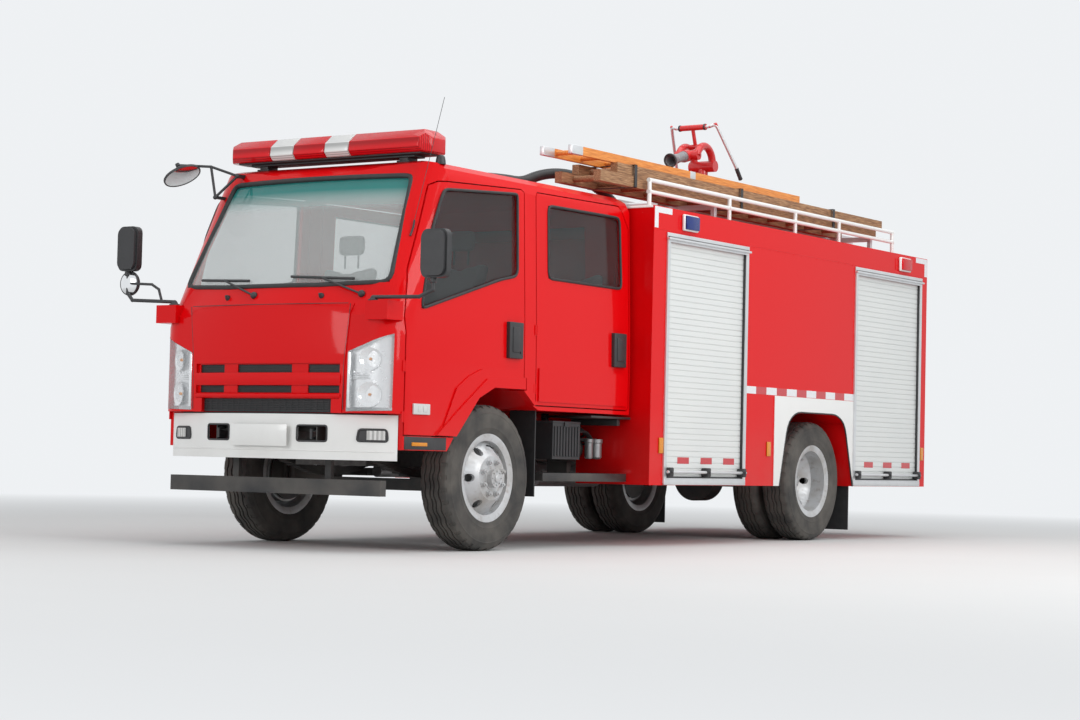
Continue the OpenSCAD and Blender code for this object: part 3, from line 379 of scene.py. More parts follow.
# %% Glass and lenses
screen_glass = Finish("screen_glass")
band = screen_glass.ramp((screen_glass.height() - 2.18) / 0.2, (0.2, 0.0), (0.9, 1.0))
screen_glass.set(Base_Color=screen_glass.mix(band, (0.86, 0.93, 0.91), (0.03, 0.25, 0.23)), Roughness=0.02,
                 Alpha=band * 0.52 + 0.22)

side_glass = speckled("side_glass", None, (2,), (0.03, 0.04, 0.04), (0.05, 0.06, 0.06), (0, 0, 0.03),
                      Alpha=0.36)
lens_clear = speckled("clear_lens", None, (30,), (0.88, 0.90, 0.92), (0.94, 0.95, 0.96), (0, 0, 0.04),
                      Alpha=0.22, Coat_Weight=1.0)


def lens(name, colour, slot=None):
    """A coloured lens with fine ribs inside it."""
    made = Finish(name, slot)
    ribs = made.wave("Y", 28.0)
    deep = tuple(0.55 * c for c in colour)
    made.set(Base_Color=made.mix(ribs, deep, colour), Roughness=0.12, Coat_Weight=0.35, Coat_Roughness=0.03,
             Specular_IOR_Level=0.15, Normal=made.bump(ribs, 0.0008))
    return made


lens_red = lens("red_lens", (0.72, 0.006, 0.012))
lens_amber = lens("amber_lens", (0.90, 0.32, 0.02))
lens_blue = lens("blue_lens", (0.01, 0.035, 0.22), "red_lens")
lens_white = lens("white_lens", (0.80, 0.80, 0.78), "lamp_lens")


def reflective(name, slot, dull, bright):
    """Tape with tiny bright cells."""
    made = Finish(name, slot)
    cells = made.node("ShaderNodeTexVoronoi", {}, Vector=made.place, Scale=180.0)
    made.set(Base_Color=made.mix(cells, dull, bright), Roughness=0.3, Coat_Weight=0.5)
    return made


tape = reflective("reflective_tape", "white_paint", (0.66, 0.66, 0.68), (0.82, 0.82, 0.83))
tape_red = reflective("red_reflective_tape", "red_paint", (0.40, 0.004, 0.01), (0.62, 0.01, 0.02))

ground = speckled("floor_grey", None, (0.5, 6.0), (0.60, 0.60, 0.59), (0.64, 0.64, 0.63), (0, 0, 0.9))
reach = ground.node("ShaderNodeVectorMath", {"operation": "LENGTH"}, ground.place, out="Value")
far_out = ground.ramp(reach / 60, (0.085, 0.0), (0.24, 1.0)) * Value(ground, looking(ground.tree))
glow = ground.node("ShaderNodeEmission", {}, Color=BACKDROP)
fade = ground.node("ShaderNodeMixShader", {}, far_out, Value(ground, ground.shader.outputs[0]), glow)
ground.tree.links.new(fade.socket, ground.tree.nodes["Material Output"].inputs["Surface"])
floor.data.materials.append(ground.material)
print("glass, lenses and tape ready")

# %% [markdown]
# Most new parts are made the same way: shapes are added to one bmesh, then the piece is
# given its finish and the CAD body it rides on. The Piece class holds that routine.
# Edges are bevelled, since a real edge always catches a thin line of light.

# %% Piece helper
def soften(bm, edges, width, segments=2):
    """Rounds some edges of a mesh."""
    bmesh.ops.bevel(bm, geom=list(edges), offset=width, offset_type="OFFSET", segments=segments,
                    profile=0.5, affect="EDGES", material=-1, clamp_overlap=True)


def verts_in(geom):
    return [g for g in geom if isinstance(g, bmesh.types.BMVert)]


def whole(bm):
    return bm.verts[:] + bm.edges[:] + bm.faces[:]


def spread(start, end, count):
    """Evenly spaced numbers from start to end."""
    return [start + (end - start) * k / (count - 1) for k in range(count)]


def circle(count, radius, first=0.0):
    """Points spaced evenly on a circle round (0, 0), from the angle first."""
    angles = [first + math.tau * k / count for k in range(count)]
    return [(radius * math.cos(a), radius * math.sin(a)) for a in angles]


class Piece:
    """Shapes added to one mesh, then finished as one object at the origin."""

    def __init__(self, name):
        self.name, self.bm = name, bmesh.new()

    def keep_new(self, before):
        return [v for v in self.bm.verts if v not in before]

    def copied(self, node):
        """Adds a CAD node's mesh with its loose triangles joined."""
        self.bm.from_mesh(nodes[node].data)
        bmesh.ops.remove_doubles(self.bm, verts=self.bm.verts[:], dist=2e-5)
        return self

    def block(self, low, high, bevel=0.003, segments=2):
        """A box between two corners with rounded edges."""
        low, high = Vector(low), Vector(high)
        place = Matrix.Translation((low + high) / 2) @ Matrix.Diagonal((*(high - low), 1))
        made = bmesh.ops.create_cube(self.bm, size=1, matrix=place)["verts"]
        if bevel:
            soften(self.bm, dict.fromkeys(e for v in made for e in v.link_edges), bevel, segments)
        return self

    def rod(self, start, end, radius, far_radius=None, sides=20, bevel=0.0):
        """A round or many-sided bar from start to end."""
        start, end = Vector(start), Vector(end)
        turn = (end - start).to_track_quat("Z", "Y").to_matrix().to_4x4()
        far_radius = radius if far_radius is None else far_radius
        made = bmesh.ops.create_cone(self.bm, cap_ends=True, segments=sides, radius1=radius,
                                     radius2=far_radius, depth=(end - start).length,
                                     matrix=Matrix.Translation((start + end) / 2) @ turn)["verts"]
        if bevel:
            rims = [e for e in dict.fromkeys(e for v in made for e in v.link_edges)
                    if sorted(len(f.verts) for f in e.link_faces) == [4, sides]]
            soften(self.bm, rims, bevel)
        return self

    def turned(self, outline, centre, axis, steps=48):
        """Spins an outline of (radius, distance along the axis) points round an axis."""
        before = set(self.bm.verts)
        axis = Vector(axis).normalized()
        side = axis.orthogonal().normalized()
        points = [self.bm.verts.new(Vector(centre) + side * r + axis * d) for r, d in outline]
        edges = [self.bm.edges.new(pair) for pair in zip(points, points[1:])]
        bmesh.ops.spin(self.bm, geom=points + edges, cent=centre, axis=axis, angle=math.tau, steps=steps,
                       use_merge=True, use_duplicate=False)
        made = self.keep_new(before)
        bmesh.ops.remove_doubles(self.bm, verts=made, dist=1e-5)
        return self

    def tube(self, points, radius, closed=False, rings=6):
        """A pipe along a list of points, rounded at its bends."""
        curve = bpy.data.curves.new("path", "CURVE")
        curve.dimensions, curve.bevel_depth, curve.bevel_resolution = "3D", radius, rings // 2
        curve.use_fill_caps = True
        line = curve.splines.new("POLY")
        line.points.add(len(points) - 1)
        for spot, place in zip(line.points, points):
            spot.co = (*place, 1)
        line.use_cyclic_u = closed
        holder = bpy.data.objects.new("path", curve)
        mesh = holder.to_mesh()
        self.bm.from_mesh(mesh)
        holder.to_mesh_clear()
        bpy.data.objects.remove(holder)
        bpy.data.curves.remove(curve)
        return self

    def mirrored(self):
        """Adds the same shapes on the truck's other side."""
        copy = bmesh.ops.duplicate(self.bm, geom=whole(self.bm))["geom"]
        faces = [g for g in copy if isinstance(g, bmesh.types.BMFace)]
        bmesh.ops.scale(self.bm, vec=(-1, 1, 1), verts=verts_in(copy))
        bmesh.ops.reverse_faces(self.bm, faces=faces)
        return self

    def on_side(self, side):
        """Moves all shapes to the right if side is negative."""
        if side < 0:
            bmesh.ops.scale(self.bm, vec=(-1, 1, 1), verts=self.bm.verts[:])
        return self

    def done(self, finish, body="truck", angle=32, replaces=(), outward=True, slot=None):
        """Makes the object. Edges sharper than angle stay sharp, and replaces names the
        CAD nodes that the piece stands for."""
        if outward:
            bmesh.ops.recalc_face_normals(self.bm, faces=self.bm.faces[:])
        for face in self.bm.faces:
            face.smooth = True
        limit = math.radians(angle)
        for edge in self.bm.edges:
            if len(edge.link_faces) == 2:
                edge.smooth = edge.calc_face_angle(0.0) < limit
        mesh = bpy.data.meshes.new(self.name)
        self.bm.to_mesh(mesh)
        self.bm.free()
        made = bpy.data.objects.new(self.name, mesh)
        bpy.context.scene.collection.objects.link(made)
        mesh.materials.append(finish.material)
        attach(made, body)
        if replaces:
            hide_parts(*replaces)
        print(f"{self.name}: {len(mesh.polygons)} faces")
        return made


def rounded(points, reach=0.03, steps=3):
    """The same closed or open path with its corners rounded off."""
    out = []
    for i, point in enumerate(points):
        before, after = points[i - 1], points[(i + 1) % len(points)]
        a = point + (before - point).normalized() * min(reach, (before - point).length * 0.45)
        b = point + (after - point).normalized() * min(reach, (after - point).length * 0.45)
        out += [a.lerp(point, t).lerp(point.lerp(b, t), t) for t in (k / steps for k in range(steps + 1))]
    return out


# %% [markdown]
# The CAD nodes come in as loose triangles. A plain panel looks right as it is, but the
# cab's curved skin is a chain of narrow flats, and gloss paint would show each one. So
# the cab's panels get a stand-in: a merged copy of the same shape, with its flats shaded
# as one curve. The bumper, the grille panel, the mirrors and the wheels also have their
# sharp edges rounded, by one to eight millimetres.

# %% Finishes for the CAD nodes
def smooth_copy(name, finish, edge=0.0, angle=24):
    """A merged, smooth-shaded copy that stands for the node."""
    piece = Piece(name + "_skin").copied(name)
    bmesh.ops.dissolve_limit(piece.bm, angle_limit=math.radians(0.6), use_dissolve_boundaries=False,
                             verts=piece.bm.verts[:], edges=piece.bm.edges[:])
    made = piece.done(finish, nodes[name]["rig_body"], angle, (name,), outward=False)
    if edge:
        rounding = made.modifiers.new("edges", "BEVEL")
        rounding.width, rounding.segments, rounding.limit_method = edge, 2, "ANGLE"
        rounding.angle_limit = math.radians(35)
        rounding.harden_normals = rounding.use_clamp_overlap = True
    return made


def paint(finish, *names):
    """Gives CAD nodes that keep their own mesh a finish."""
    for name in names:
        data = nodes[name].data
        data.materials.clear()
        data.materials.append(finish.material)


paint(chassis, "chassis_frame", "front_axle", "rear_axle", "leaf_springs", "propshaft", "underrun_bar",
      "side_step", "knuckle_left", "knuckle_right", "tie_rod")
paint(cast, "engine")
paint(zinc, "fuel_tank", "exhaust", "water_tank")
paint(plastic, "battery_box", "dashboard", "wipers")
paint(red, "fire_body", "pump")
paint(alloy, "locker_frames", "metal_ladder", "rear_step")
paint(slat, "shutters")
paint(white, "roof_rails")
paint(timber, "wooden_ladder")
paint(varnish, "orange_ladder")
paint(rubber, "mudguards", "suction_hose")
paint(red_metal, "monitor_base", "monitor_swivel")
paint(side_glass, "glass_front_left", "glass_front_right", "glass_rear_left", "glass_rear_right")
paint(screen_glass, "cab_glass")
paint(lens_clear, "headlamps")
for name in ("cab_shell", "door_front_left", "door_front_right", "door_rear_left", "door_rear_right"):
    smooth_copy(name, red)
smooth_copy("grille_panel", red, 0.004, 30)
smooth_copy("front_bumper", white, 0.008)
smooth_copy("mirrors", plastic, 0.003, 30)
print("finished", len(nodes), "CAD nodes")

# %% [markdown]
# A tyre is turned like a pot: one outline of its width, spun round the axle. The four
# tread grooves are part of the outline, and pushing every other pair of rings sideways
# makes them zigzag. The shoulder blocks come from sinking every third face of the shoulder.

# %% Tyres
AXLE_Z = 0.485
HALF_TYRE = [(0.2555, 0.0870), (0.281, 0.0953), (0.2955, 0.0974), (0.2972, 0.1055), (0.312, 0.1095),
             (0.330, 0.1128), (0.333, 0.1146), (0.337, 0.1146), (0.340, 0.1138), (0.365, 0.1168),
             (0.385, 0.1175), (0.410, 0.1168), (0.425, 0.1152), (0.428, 0.1166), (0.433, 0.1162),
             (0.436, 0.1138), (0.450, 0.1105), (0.462, 0.1050), (0.4735, 0.0975), (0.4800, 0.0850),
             (0.4845, 0.0700), (0.4850, 0.0600), (0.4735, 0.0575), (0.4735, 0.0505), (0.4850, 0.0480),
             (0.4850, 0.0200), (0.4735, 0.0175), (0.4735, 0.0105), (0.4850, 0.0080)]
TYRE = [(r, -w) for r, w in HALF_TYRE] + [(r, w) for r, w in reversed(HALF_TYRE)]
STEPS = 108
TREAD_R, GROOVES_END, ZIGZAG = 0.46, 0.0615, 0.0045
SHOULDER_R, SHOULDER_IN, SHOULDER_OUT, BLOCK_DEPTH = 0.45, 0.071, 0.1065, 0.006


def tyre(piece, x, y):
    """One tyre with ribs, zigzag grooves and shoulder blocks."""
    centre = at(x, y, AXLE_Z)
    before = set(piece.bm.verts)
    piece.turned(TYRE, centre, (1, 0, 0), STEPS)
    made = piece.keep_new(before)
    for vert in made:
        across = vert.co.x - centre.x
        turn = math.atan2(vert.co.z - centre.z, vert.co.y - centre.y) / math.tau * STEPS
        if abs(across) < GROOVES_END and math.hypot(vert.co.z - centre.z, vert.co.y - centre.y) > TREAD_R:
            vert.co.x += ZIGZAG if round(turn) % 4 < 2 else -ZIGZAG
    blocks = []
    for face in dict.fromkeys(f for v in made for f in v.link_faces):
        middle = face.calc_center_median() - centre
        turn = math.atan2(middle.z, middle.y) / math.tau * STEPS
        on_shoulder = SHOULDER_IN < abs(middle.x) < SHOULDER_OUT
        if on_shoulder and math.hypot(middle.z, middle.y) > SHOULDER_R and math.floor(turn) % 3 == 0:
            blocks.append(face)
    sunk = bmesh.ops.extrude_face_region(piece.bm, geom=blocks)["geom"]
    for vert in verts_in(sunk):
        radial = Vector((0, vert.co.y - centre.y, vert.co.z - centre.z)).normalized()
        vert.co -= radial * BLOCK_DEPTH
    bmesh.ops.delete(piece.bm, geom=[f for f in blocks if f.is_valid], context="FACES_KEEP_BOUNDARY")


for node, places, y, body in (("tyre_front", (0.848,), 0, "wheel_front"),
                              ("tyres_rear", (0.6875, 0.9625), WHEELBASE, "wheels_rear")):
    for side, name in SIDES:
        piece = Piece(f"{node}_{name}_tread")
        for x in places:
            tyre(piece, side * x, y)
        piece.done(tyre_black, f"{body}_{name}", 28, (f"{node}_{name}",), outward=False)

# %% [markdown]
# Pressed steel wheels: the dish and its six hand holes are in the CAD. The nuts, the
# hub cap and the valve make them a lorry's wheels. Eight nuts on one circle hold each.

# %% Wheels
NUTS, NUT_CIRCLE, CAP_CIRCLE = 8, 0.112, 0.046


def wheel_metal(side, name, x_face, x_hub, y):
    """Nuts, hub cap and valve for one body's outer wheel. x_face is where the nuts sit,
    and x_hub where the hub ends."""
    smooth_copy(name, silver, 0.0012, 22)
    metal = Piece(f"{name}_nuts")
    centre = at(0, y, AXLE_Z)
    half_step = math.pi / NUTS
    for nut, bolt in zip(circle(NUTS, NUT_CIRCLE, half_step), circle(NUTS, CAP_CIRCLE, half_step + 0.4)):
        spot, cap = centre + Vector((0, *nut)), centre + Vector((0, *bolt))
        for start, end, radius, sides in ((0, 0.006, 0.021, 20), (0.006, 0.026, 0.0165, 6),
                                          (0.026, 0.036, 0.009, 12)):
            metal.rod(spot + Vector((side * (x_face + start), 0, 0)),
                      spot + Vector((side * (x_face + end), 0, 0)), radius, sides=sides, bevel=0.0015)
        metal.rod(cap + Vector((side * x_hub, 0, 0)), cap + Vector((side * (x_hub + 0.008), 0, 0)), 0.006,
                  sides=6)
    metal.turned([(0.0, 0.016), (0.020, 0.015), (0.028, 0.010), (0.030, 0.0), (0.058, -0.001)],
                 centre + Vector((side * x_hub, 0, 0)), (side, 0, 0), 32)
    metal.done(silver, name, 30)
    valve = Piece(f"{name}_valve")
    start = centre + Vector((side * (x_face - 0.05), 0.0, 0.215))
    valve.tube([start, start + Vector((side * 0.03, 0, -0.004)), start + Vector((side * 0.055, 0, -0.02))],
               0.005)
    valve.done(rubber, name)


for side, name in SIDES:
    wheel_metal(side, f"wheel_front_{name}", 0.9857, 1.0277, 0)
    wheel_metal(side, f"wheels_rear_{name}", 0.8372, 0.9152, WHEELBASE)

# %% [markdown]
# Small parts on the cab must lie on its curved face. Two short functions repeat the
# CAD's curves: how far back the front panel lies at a distance from the middle, and
# where the leaning windscreen is at a height.

# %% The cab's front curves
NOSE_Y, NOSE_R = -1.185, 5.6
SCREEN_R, SCREEN_LEAN = 3.6, math.atan2(0.390, 0.760)
CORNER_X, CORNER_Y, CORNER_R = 0.790, -0.929, 0.2


def nose(x, z, out=0.0):
    """A point on the front panel, out metres ahead of it."""
    return at(x, NOSE_Y + NOSE_R - math.sqrt(NOSE_R ** 2 - x * x) - out, z)


def screen(x, z, out=0.0):
    """A point on the windscreen's surface, out metres ahead of it."""
    bow = (SCREEN_R - math.sqrt(SCREEN_R ** 2 - x * x)) / math.cos(SCREEN_LEAN)
    return at(x, -1.125 + (z - 1.690) * math.tan(SCREEN_LEAN) + bow - out, z)


def panel(piece, x0, x1, z0, z1, out, thick, surface=nose, parts=8):
    """A thin plate that follows the front panel's curve."""
    before = set(piece.bm.verts)
    bmesh.ops.create_grid(piece.bm, x_segments=parts, y_segments=1, size=0.5)
    made = piece.keep_new(before)
    for vert in made:
        vert.co = surface(x0 + (vert.co.x + 0.5) * (x1 - x0), z0 + (vert.co.y + 0.5) * (z1 - z0), out)
    faces = list(dict.fromkeys(f for v in made for f in v.link_faces))
    grown = bmesh.ops.extrude_face_region(piece.bm, geom=faces)["geom"]
    bmesh.ops.translate(piece.bm, vec=(0, thick, 0), verts=verts_in(grown))
    return piece


# %% [markdown]
# Every pane sits in a black rubber channel. It is a soft bead that runs round the
# opening's outline, half in the gap, so one tube along the rounded outline is enough.

# %% Window rubbers
SCREEN_EDGE = [(-0.858, 1.718), (-0.4, 1.700), (0.4, 1.700), (0.858, 1.718), (0.757, 2.425), (0.720, 2.440),
               (-0.720, 2.440), (-0.757, 2.425)]


def between(points, longest=0.12):
    """The same closed outline with points added on its long sides."""
    out = []
    for a, b in zip(points, points[1:] + points[:1]):
        a, b = Vector(a), Vector(b)
        count = max(1, math.ceil((b - a).length / longest))
        out += [a.lerp(b, k / count) for k in range(count)]
    return out


def corners(points, reach):
    flat = rounded([Vector((x, z, 0)) for x, z in points], reach)
    return [(p.x, p.y) for p in flat]


seal = Piece("screen_rubber")
seal.tube([screen(x, z, -0.004) for x, z in between(corners(SCREEN_EDGE, 0.06))], 0.017, closed=True)
seal.done(rubber)

FRONT_WINDOW = [(-0.825, 1.556), (0.060, 1.810), (0.262, 1.850), (0.265, 2.395), (0.245, 2.405),
                (-0.560, 2.350), (-0.590, 2.320), (-0.700, 2.090)]
REAR_WINDOW = [(0.640, 1.862), (1.570, 1.858), (1.590, 1.880), (1.575, 2.345), (1.550, 2.372),
               (0.640, 2.366)]


SIDE_PROFILE = [(0.6, 0.990), (1.238, 0.990), (1.560, 0.985), (2.420, 0.957), (2.490, 0.930)]


def flank(y, z, out=0.0):
    """A point on the cab's left side."""
    (z0, x0), (z1, x1) = next(pair for pair in zip(SIDE_PROFILE, SIDE_PROFILE[1:]) if z <= pair[1][0])
    x = x0 + (x1 - x0) * (z - z0) / (z1 - z0)
    corner = 0.0 if y > CORNER_Y else CORNER_R - math.sqrt(max(0.0, CORNER_R ** 2 - (y - CORNER_Y) ** 2))
    return at(x - corner + out, y, z)


for shape, outline, body in (("front", FRONT_WINDOW, "door_front"), ("rear", REAR_WINDOW, "door_rear")):
    for side, name in SIDES:
        ring = Piece(f"window_rubber_{shape}_{name}")
        path = [flank(y, z, 0.001) for y, z in between(corners(outline, 0.05))]
        ring.tube([Vector((side * p.x, p.y, p.z)) for p in path], 0.010, closed=True)
        ring.done(rubber, f"{body}_{name}")

# %% [markdown]
# The front face: a dark mesh behind the grille slots, thin gaps round the tilting
# panel, and two washer nozzles. A panel gap is a shadow, so a thin dark bead stands
# for it.

# %% Front face
SLOT_ROWS = ((1.137, 1.190), (1.007, 1.055))
SLOT_COLUMNS = ((-0.577, -0.356), (-0.234, 0.222), (0.352, 0.597))
mesh_back = Piece("grille_mesh")
for z0, z1 in SLOT_ROWS:
    for x0, x1 in SLOT_COLUMNS:
        panel(mesh_back, x0 + 0.001, x1 - 0.001, z0 + 0.001, z1 - 0.001, -0.0215, 0.002)
        for k in range(5):
            z = z0 + (k + 0.5) * (z1 - z0) / 5
            mesh_back.tube([nose(x, z, -0.017) for x in spread(x0 + 0.001, x1 - 0.001, 7)], 0.0022)
panel(mesh_back, -0.543, 0.543, 0.884, 0.969, -0.0215, 0.002)
for z in spread(0.893, 0.962, 7):
    mesh_back.tube([nose(x, z, -0.016) for x in spread(-0.54, 0.54, 11)], 0.003)
for x in spread(-0.52, 0.52, 22):
    mesh_back.tube([nose(x, 0.887, -0.013), nose(x, 0.966, -0.013)], 0.0018)
mesh_back.done(plastic)

gaps = Piece("front_panel_gaps")
for x in (-0.655, 0.655):
    gaps.tube([nose(x * 0.966 if z < 1.25 else x * (0.966 + 0.06 * (z - 1.2) / 0.38), z, 0.0068) for z in
               (0.90, 1.0, 1.1, 1.2, 1.3, 1.4, 1.5, 1.575)], 0.0022)
gaps.tube([nose(x, 1.577, 0.0068) for x in spread(-0.655, 0.655, 21)], 0.0022)
gaps.done(plastic)

nozzles = Piece("washer_nozzles")
for x in (0.418, -0.366):
    nozzles.turned([(0.0, 0.020), (0.012, 0.018), (0.017, 0.008), (0.019, -0.012)], screen(x, 1.628, 0.002),
                   (0, -0.8, 0.6), 20)
    nozzles.block(screen(x, 1.640, 0.030) - Vector((0.007, 0.004, 0.008)),
                  screen(x, 1.640, 0.0) + Vector((0.007, 0.010, 0.006)), 0.003)
nozzles.done(plastic)

# %% [markdown]
# The headlamps are tall corner units. Behind the clear cover is a bright box with a
# dipped bowl below and an indicator above, divided by a ribbed shelf. The box is the
# lamp's own back and side walls, drawn in by a millimetre and turned inside out. The
# bowls are turned parabolas, and each has its bulb.

# %% Headlamps
box = Piece("lamp_boxes").copied("headlamps")
outer_faces = []
for face in box.bm.faces:
    middle = face.calc_center_median()
    across = abs(middle.x) - CORNER_X
    before_corner = min(0.0, middle.y - at(0, CORNER_Y, 0).y)
    outward = Vector((math.copysign(max(0.0, across), middle.x), before_corner, 0)).normalized()
    if face.normal.dot(outward) > 0.6:
        outer_faces.append(face)
bmesh.ops.delete(box.bm, geom=outer_faces, context="FACES")
box.bm.normal_update()
BOX_WALL = 0.0014
for vert in box.bm.verts:
    vert.co -= vert.normal * BOX_WALL
bmesh.ops.reverse_faces(box.bm, faces=box.bm.faces[:])
box.done(lamp_silver, angle=24, outward=False)
lamps = Piece("lamp_bowls")
bulbs = Piece("lamp_bulbs")
facing = Vector((0.42, -0.90, 0.0)).normalized()
for middle, radius in ((1.000, 0.074), (1.225, 0.066)):
    seat = at(0.800, -1.098, middle) - facing * 0.022
    bowl = [(0.010, 0.000), (0.012, 0.004), (radius * 0.5, 0.010), (radius * 0.8, 0.020), (radius, 0.034),
            (radius + 0.005, 0.036), (radius + 0.005, 0.030)]
    lamps.turned(bowl, seat, facing, 40)
    bulbs.turned([(0.0, 0.030), (0.007, 0.028), (0.010, 0.020), (0.010, 0.0)], seat, facing, 16)
for x, z0, z1 in ((0.668, 0.905, 1.265), (0.922, 0.915, 1.350)):
    back = NOSE_Y + (0.036 if x < 0.7 else 0.175)
    for k in range(5):
        lamps.block(at(x - 0.010, back + 0.004 * k, z0 + 0.01),
                    at(x - 0.006 + 0.016, back + 0.003 + 0.004 * k, z1 - 0.01 * k), 0.001)
for k in range(3):
    z = 1.102 + 0.011 * k
    lamps.tube([at(0.668, -1.118, z), at(0.760, -1.100, z), at(0.850, -1.072, z), at(0.905, -1.020, z)],
               0.0045)
for k in range(4):
    spot = at(0.700 + 0.052 * k, -1.128 + 0.010 * k * k, 1.140)
    lamps.rod(spot, spot + Vector((0.004 * k, -0.006, 0)), 0.008, sides=14, bevel=0.001)
lamps.mirrored().done(chrome)
bulbs.mirrored().done(lens_amber)

# %% [markdown]
# The bumper carries a blank number plate, two fog lamps in black bezels and dark
# liners behind the tow openings. A maker presses a step along its lower edge.

# %% Bumper fittings
BUMPER_Y, BUMPER_HALF, BUMPER_BOW = -1.2, 0.974, 0.221
BUMPER_R = (BUMPER_HALF ** 2 + BUMPER_BOW ** 2) / (2 * BUMPER_BOW)


def bumper(x, z, out=0.0):
    """A point on the bumper's face, out metres ahead of it."""
    return at(x, BUMPER_R + BUMPER_Y - math.sqrt(BUMPER_R ** 2 - x * x) - out, z)


plate = Piece("number_plate")
plate.block(bumper(-0.235, 0.664, 0.0) - Vector((0, 0.036, 0)),
            bumper(0.235, 0.803, 0.0) - Vector((0, 0.033, 0)), 0.0012)
for x in (-0.16, 0.16):
    for z in (0.68, 0.79):
        plate.rod(at(x, -1.206, z), at(x, -1.212, z), 0.006, sides=12, bevel=0.001)
plate.done(white)
fittings = Piece("fog_lamp_bezels")
glasses = Piece("fog_lamp_lenses")
for side in (1, -1):
    edge = [(0.700, 0.706), (0.892, 0.706), (0.884, 0.780), (0.712, 0.780)]
    path = [bumper(side * x, z, 0.001) for x, z in between(corners(edge, 0.02), 0.05)]
    fittings.tube(path, 0.0075, closed=True)
    panel(fittings, side * 0.705, side * 0.886, 0.708, 0.778, 0.0015, 0.004, bumper)
    panel(glasses, side * 0.765, side * 0.878, 0.714, 0.773, 0.006, 0.004, bumper)
    for x in spread(side * 0.772, side * 0.872, 9):
        glasses.rod(bumper(x, 0.716, 0.006), bumper(x, 0.771, 0.006), 0.003, sides=8)
fittings.done(plastic)
glasses.done(lens_white)
liners_and_gap_shade = Piece("tow_liners_and_gap_shade")
for side in (1, -1):
    edge = [(0.286, 0.700), (0.500, 0.700), (0.500, 0.800), (0.286, 0.800)]
    liners_and_gap_shade.tube([bumper(side * x, z, 0.0) for x, z in between(corners(edge, 0.016), 0.06)], 0.006,
                closed=True)
    liners_and_gap_shade.tube([at(side * 0.39, -1.11, 0.72), at(side * 0.39, -1.165, 0.72), at(side * 0.39, -1.165, 0.77),
                 at(side * 0.39, -1.11, 0.78)], 0.011)
# Painted shade: this thin dark strip along the bumper's top, set back behind its face, stands for the
# shadow in the gap under the front panel.
panel(liners_and_gap_shade, -0.90, 0.90, 0.8735, 0.8795, -0.040, 0.03, bumper, 16)
liners_and_gap_shade.done(plastic)
crease = Piece("bumper_crease")
crease.tube([bumper(x, 0.640, -0.0015) for x in spread(-0.93, 0.93, 41)], 0.0045)
crease.done(white)

# %% [markdown]
# The light bar is a long prism in sections: red, white, red, white, red. Each section
# is its own moulding with a thin joint to the next, on a dark tray. The outline is
# extruded along X, and planes cut the end sections to their pointed shape. Beside it
# are a small radio dome and a whip aerial, which is clipped to the front pillar.

# %% Light bar
BAR = [(-0.380, 2.600), (-0.350, 2.632), (-0.358, 2.692), (-0.430, 2.752), (-0.570, 2.752), (-0.642, 2.692),
       (-0.650, 2.632), (-0.620, 2.600)]
SECTIONS = [(-0.855, -0.463, lens_red), (-0.463, -0.260, lens_white), (-0.260, 0.009, lens_red),
            (0.009, 0.214, lens_white), (0.214, 0.855, lens_red)]
CHAMFERS = [((0.855, -0.430, 0), (0.085, 0.065, 0)), ((0.855, -0.570, 0), (0.085, -0.065, 0)),
            ((0.855, 0, 2.690), (0.070, 0, 0.075))]


def trim(bm, point, normal):
    """Cuts away what lies beyond a plane and closes the cut."""
    done = bmesh.ops.bisect_plane(bm, geom=whole(bm), dist=1e-6, plane_co=point, plane_no=normal,
                                  clear_outer=True)
    rims = [e for e in done["geom_cut"] if isinstance(e, bmesh.types.BMEdge)]
    bmesh.ops.contextual_create(bm, geom=rims)


for k, (x0, x1, finish) in enumerate(SECTIONS):
    section = Piece(f"light_bar_section_{k + 1}")
    face = section.bm.faces.new([section.bm.verts.new(at(x0 + 0.0012, y, z)) for y, z in BAR])
    grown = bmesh.ops.extrude_face_region(section.bm, geom=[face])["geom"]
    bmesh.ops.translate(section.bm, vec=(x1 - x0 - 0.0024, 0, 0), verts=verts_in(grown))
    bmesh.ops.recalc_face_normals(section.bm, faces=section.bm.faces[:])
    for side in (1, -1):
        for (x, y, z), (a, b, c) in CHAMFERS:
            if max(side * x0, side * x1) > 0.8:
                trim(section.bm, at(side * x, y, z), (side * a, b, c))
    rims = [e for e in section.bm.edges if e.calc_face_angle(0) > math.radians(20)]
    soften(section.bm, rims, 0.006, 3)
    section.done(finish, angle=34, replaces=("light_bar",) if k == 0 else (), slot="red_lens")
tray = Piece("light_bar_tray")
tray.block(at(-0.780, -0.600, 2.590), at(0.780, -0.400, 2.602), 0.004)
tray.block(at(-0.700, -0.560, 2.576), at(0.700, -0.440, 2.592), 0.004)
for side in (1, -1):
    tray.block(at(side * 0.6 - 0.035, -0.545, 2.546), at(side * 0.6 + 0.035, -0.435, 2.614), 0.006)
    tray.block(at(side * 0.6 - 0.05, -0.555, 2.545), at(side * 0.6 + 0.05, -0.425, 2.558), 0.003)
tray.done(plastic)
aerials = Piece("radio_aerials")
aerials.turned([(0.0, 0.060), (0.014, 0.058), (0.027, 0.046), (0.032, 0.024), (0.034, 0.004),
                (0.034, -0.004)], at(0.870, -0.500, 2.527), (0, 0, 1), 28)
aerials.tube([at(0.885, -0.828, 2.025), at(0.885, -0.797, 2.085), at(0.885, -0.788, 2.130)], 0.0065)
aerials.tube([at(0.885, -0.790, 2.120), at(0.889, -0.722, 2.330), at(0.894, -0.640, 2.580),
              at(0.900, -0.515, 2.960)], 0.0018)
aerials.done(plastic)

# %% [markdown]
# The mirror shells and their bent tubes come from the CAD. The glass is a thin bright
# plate on the face that the driver sees. The round one and the one that looks down on
# the kerb are domed, so each is turned from a short arc.

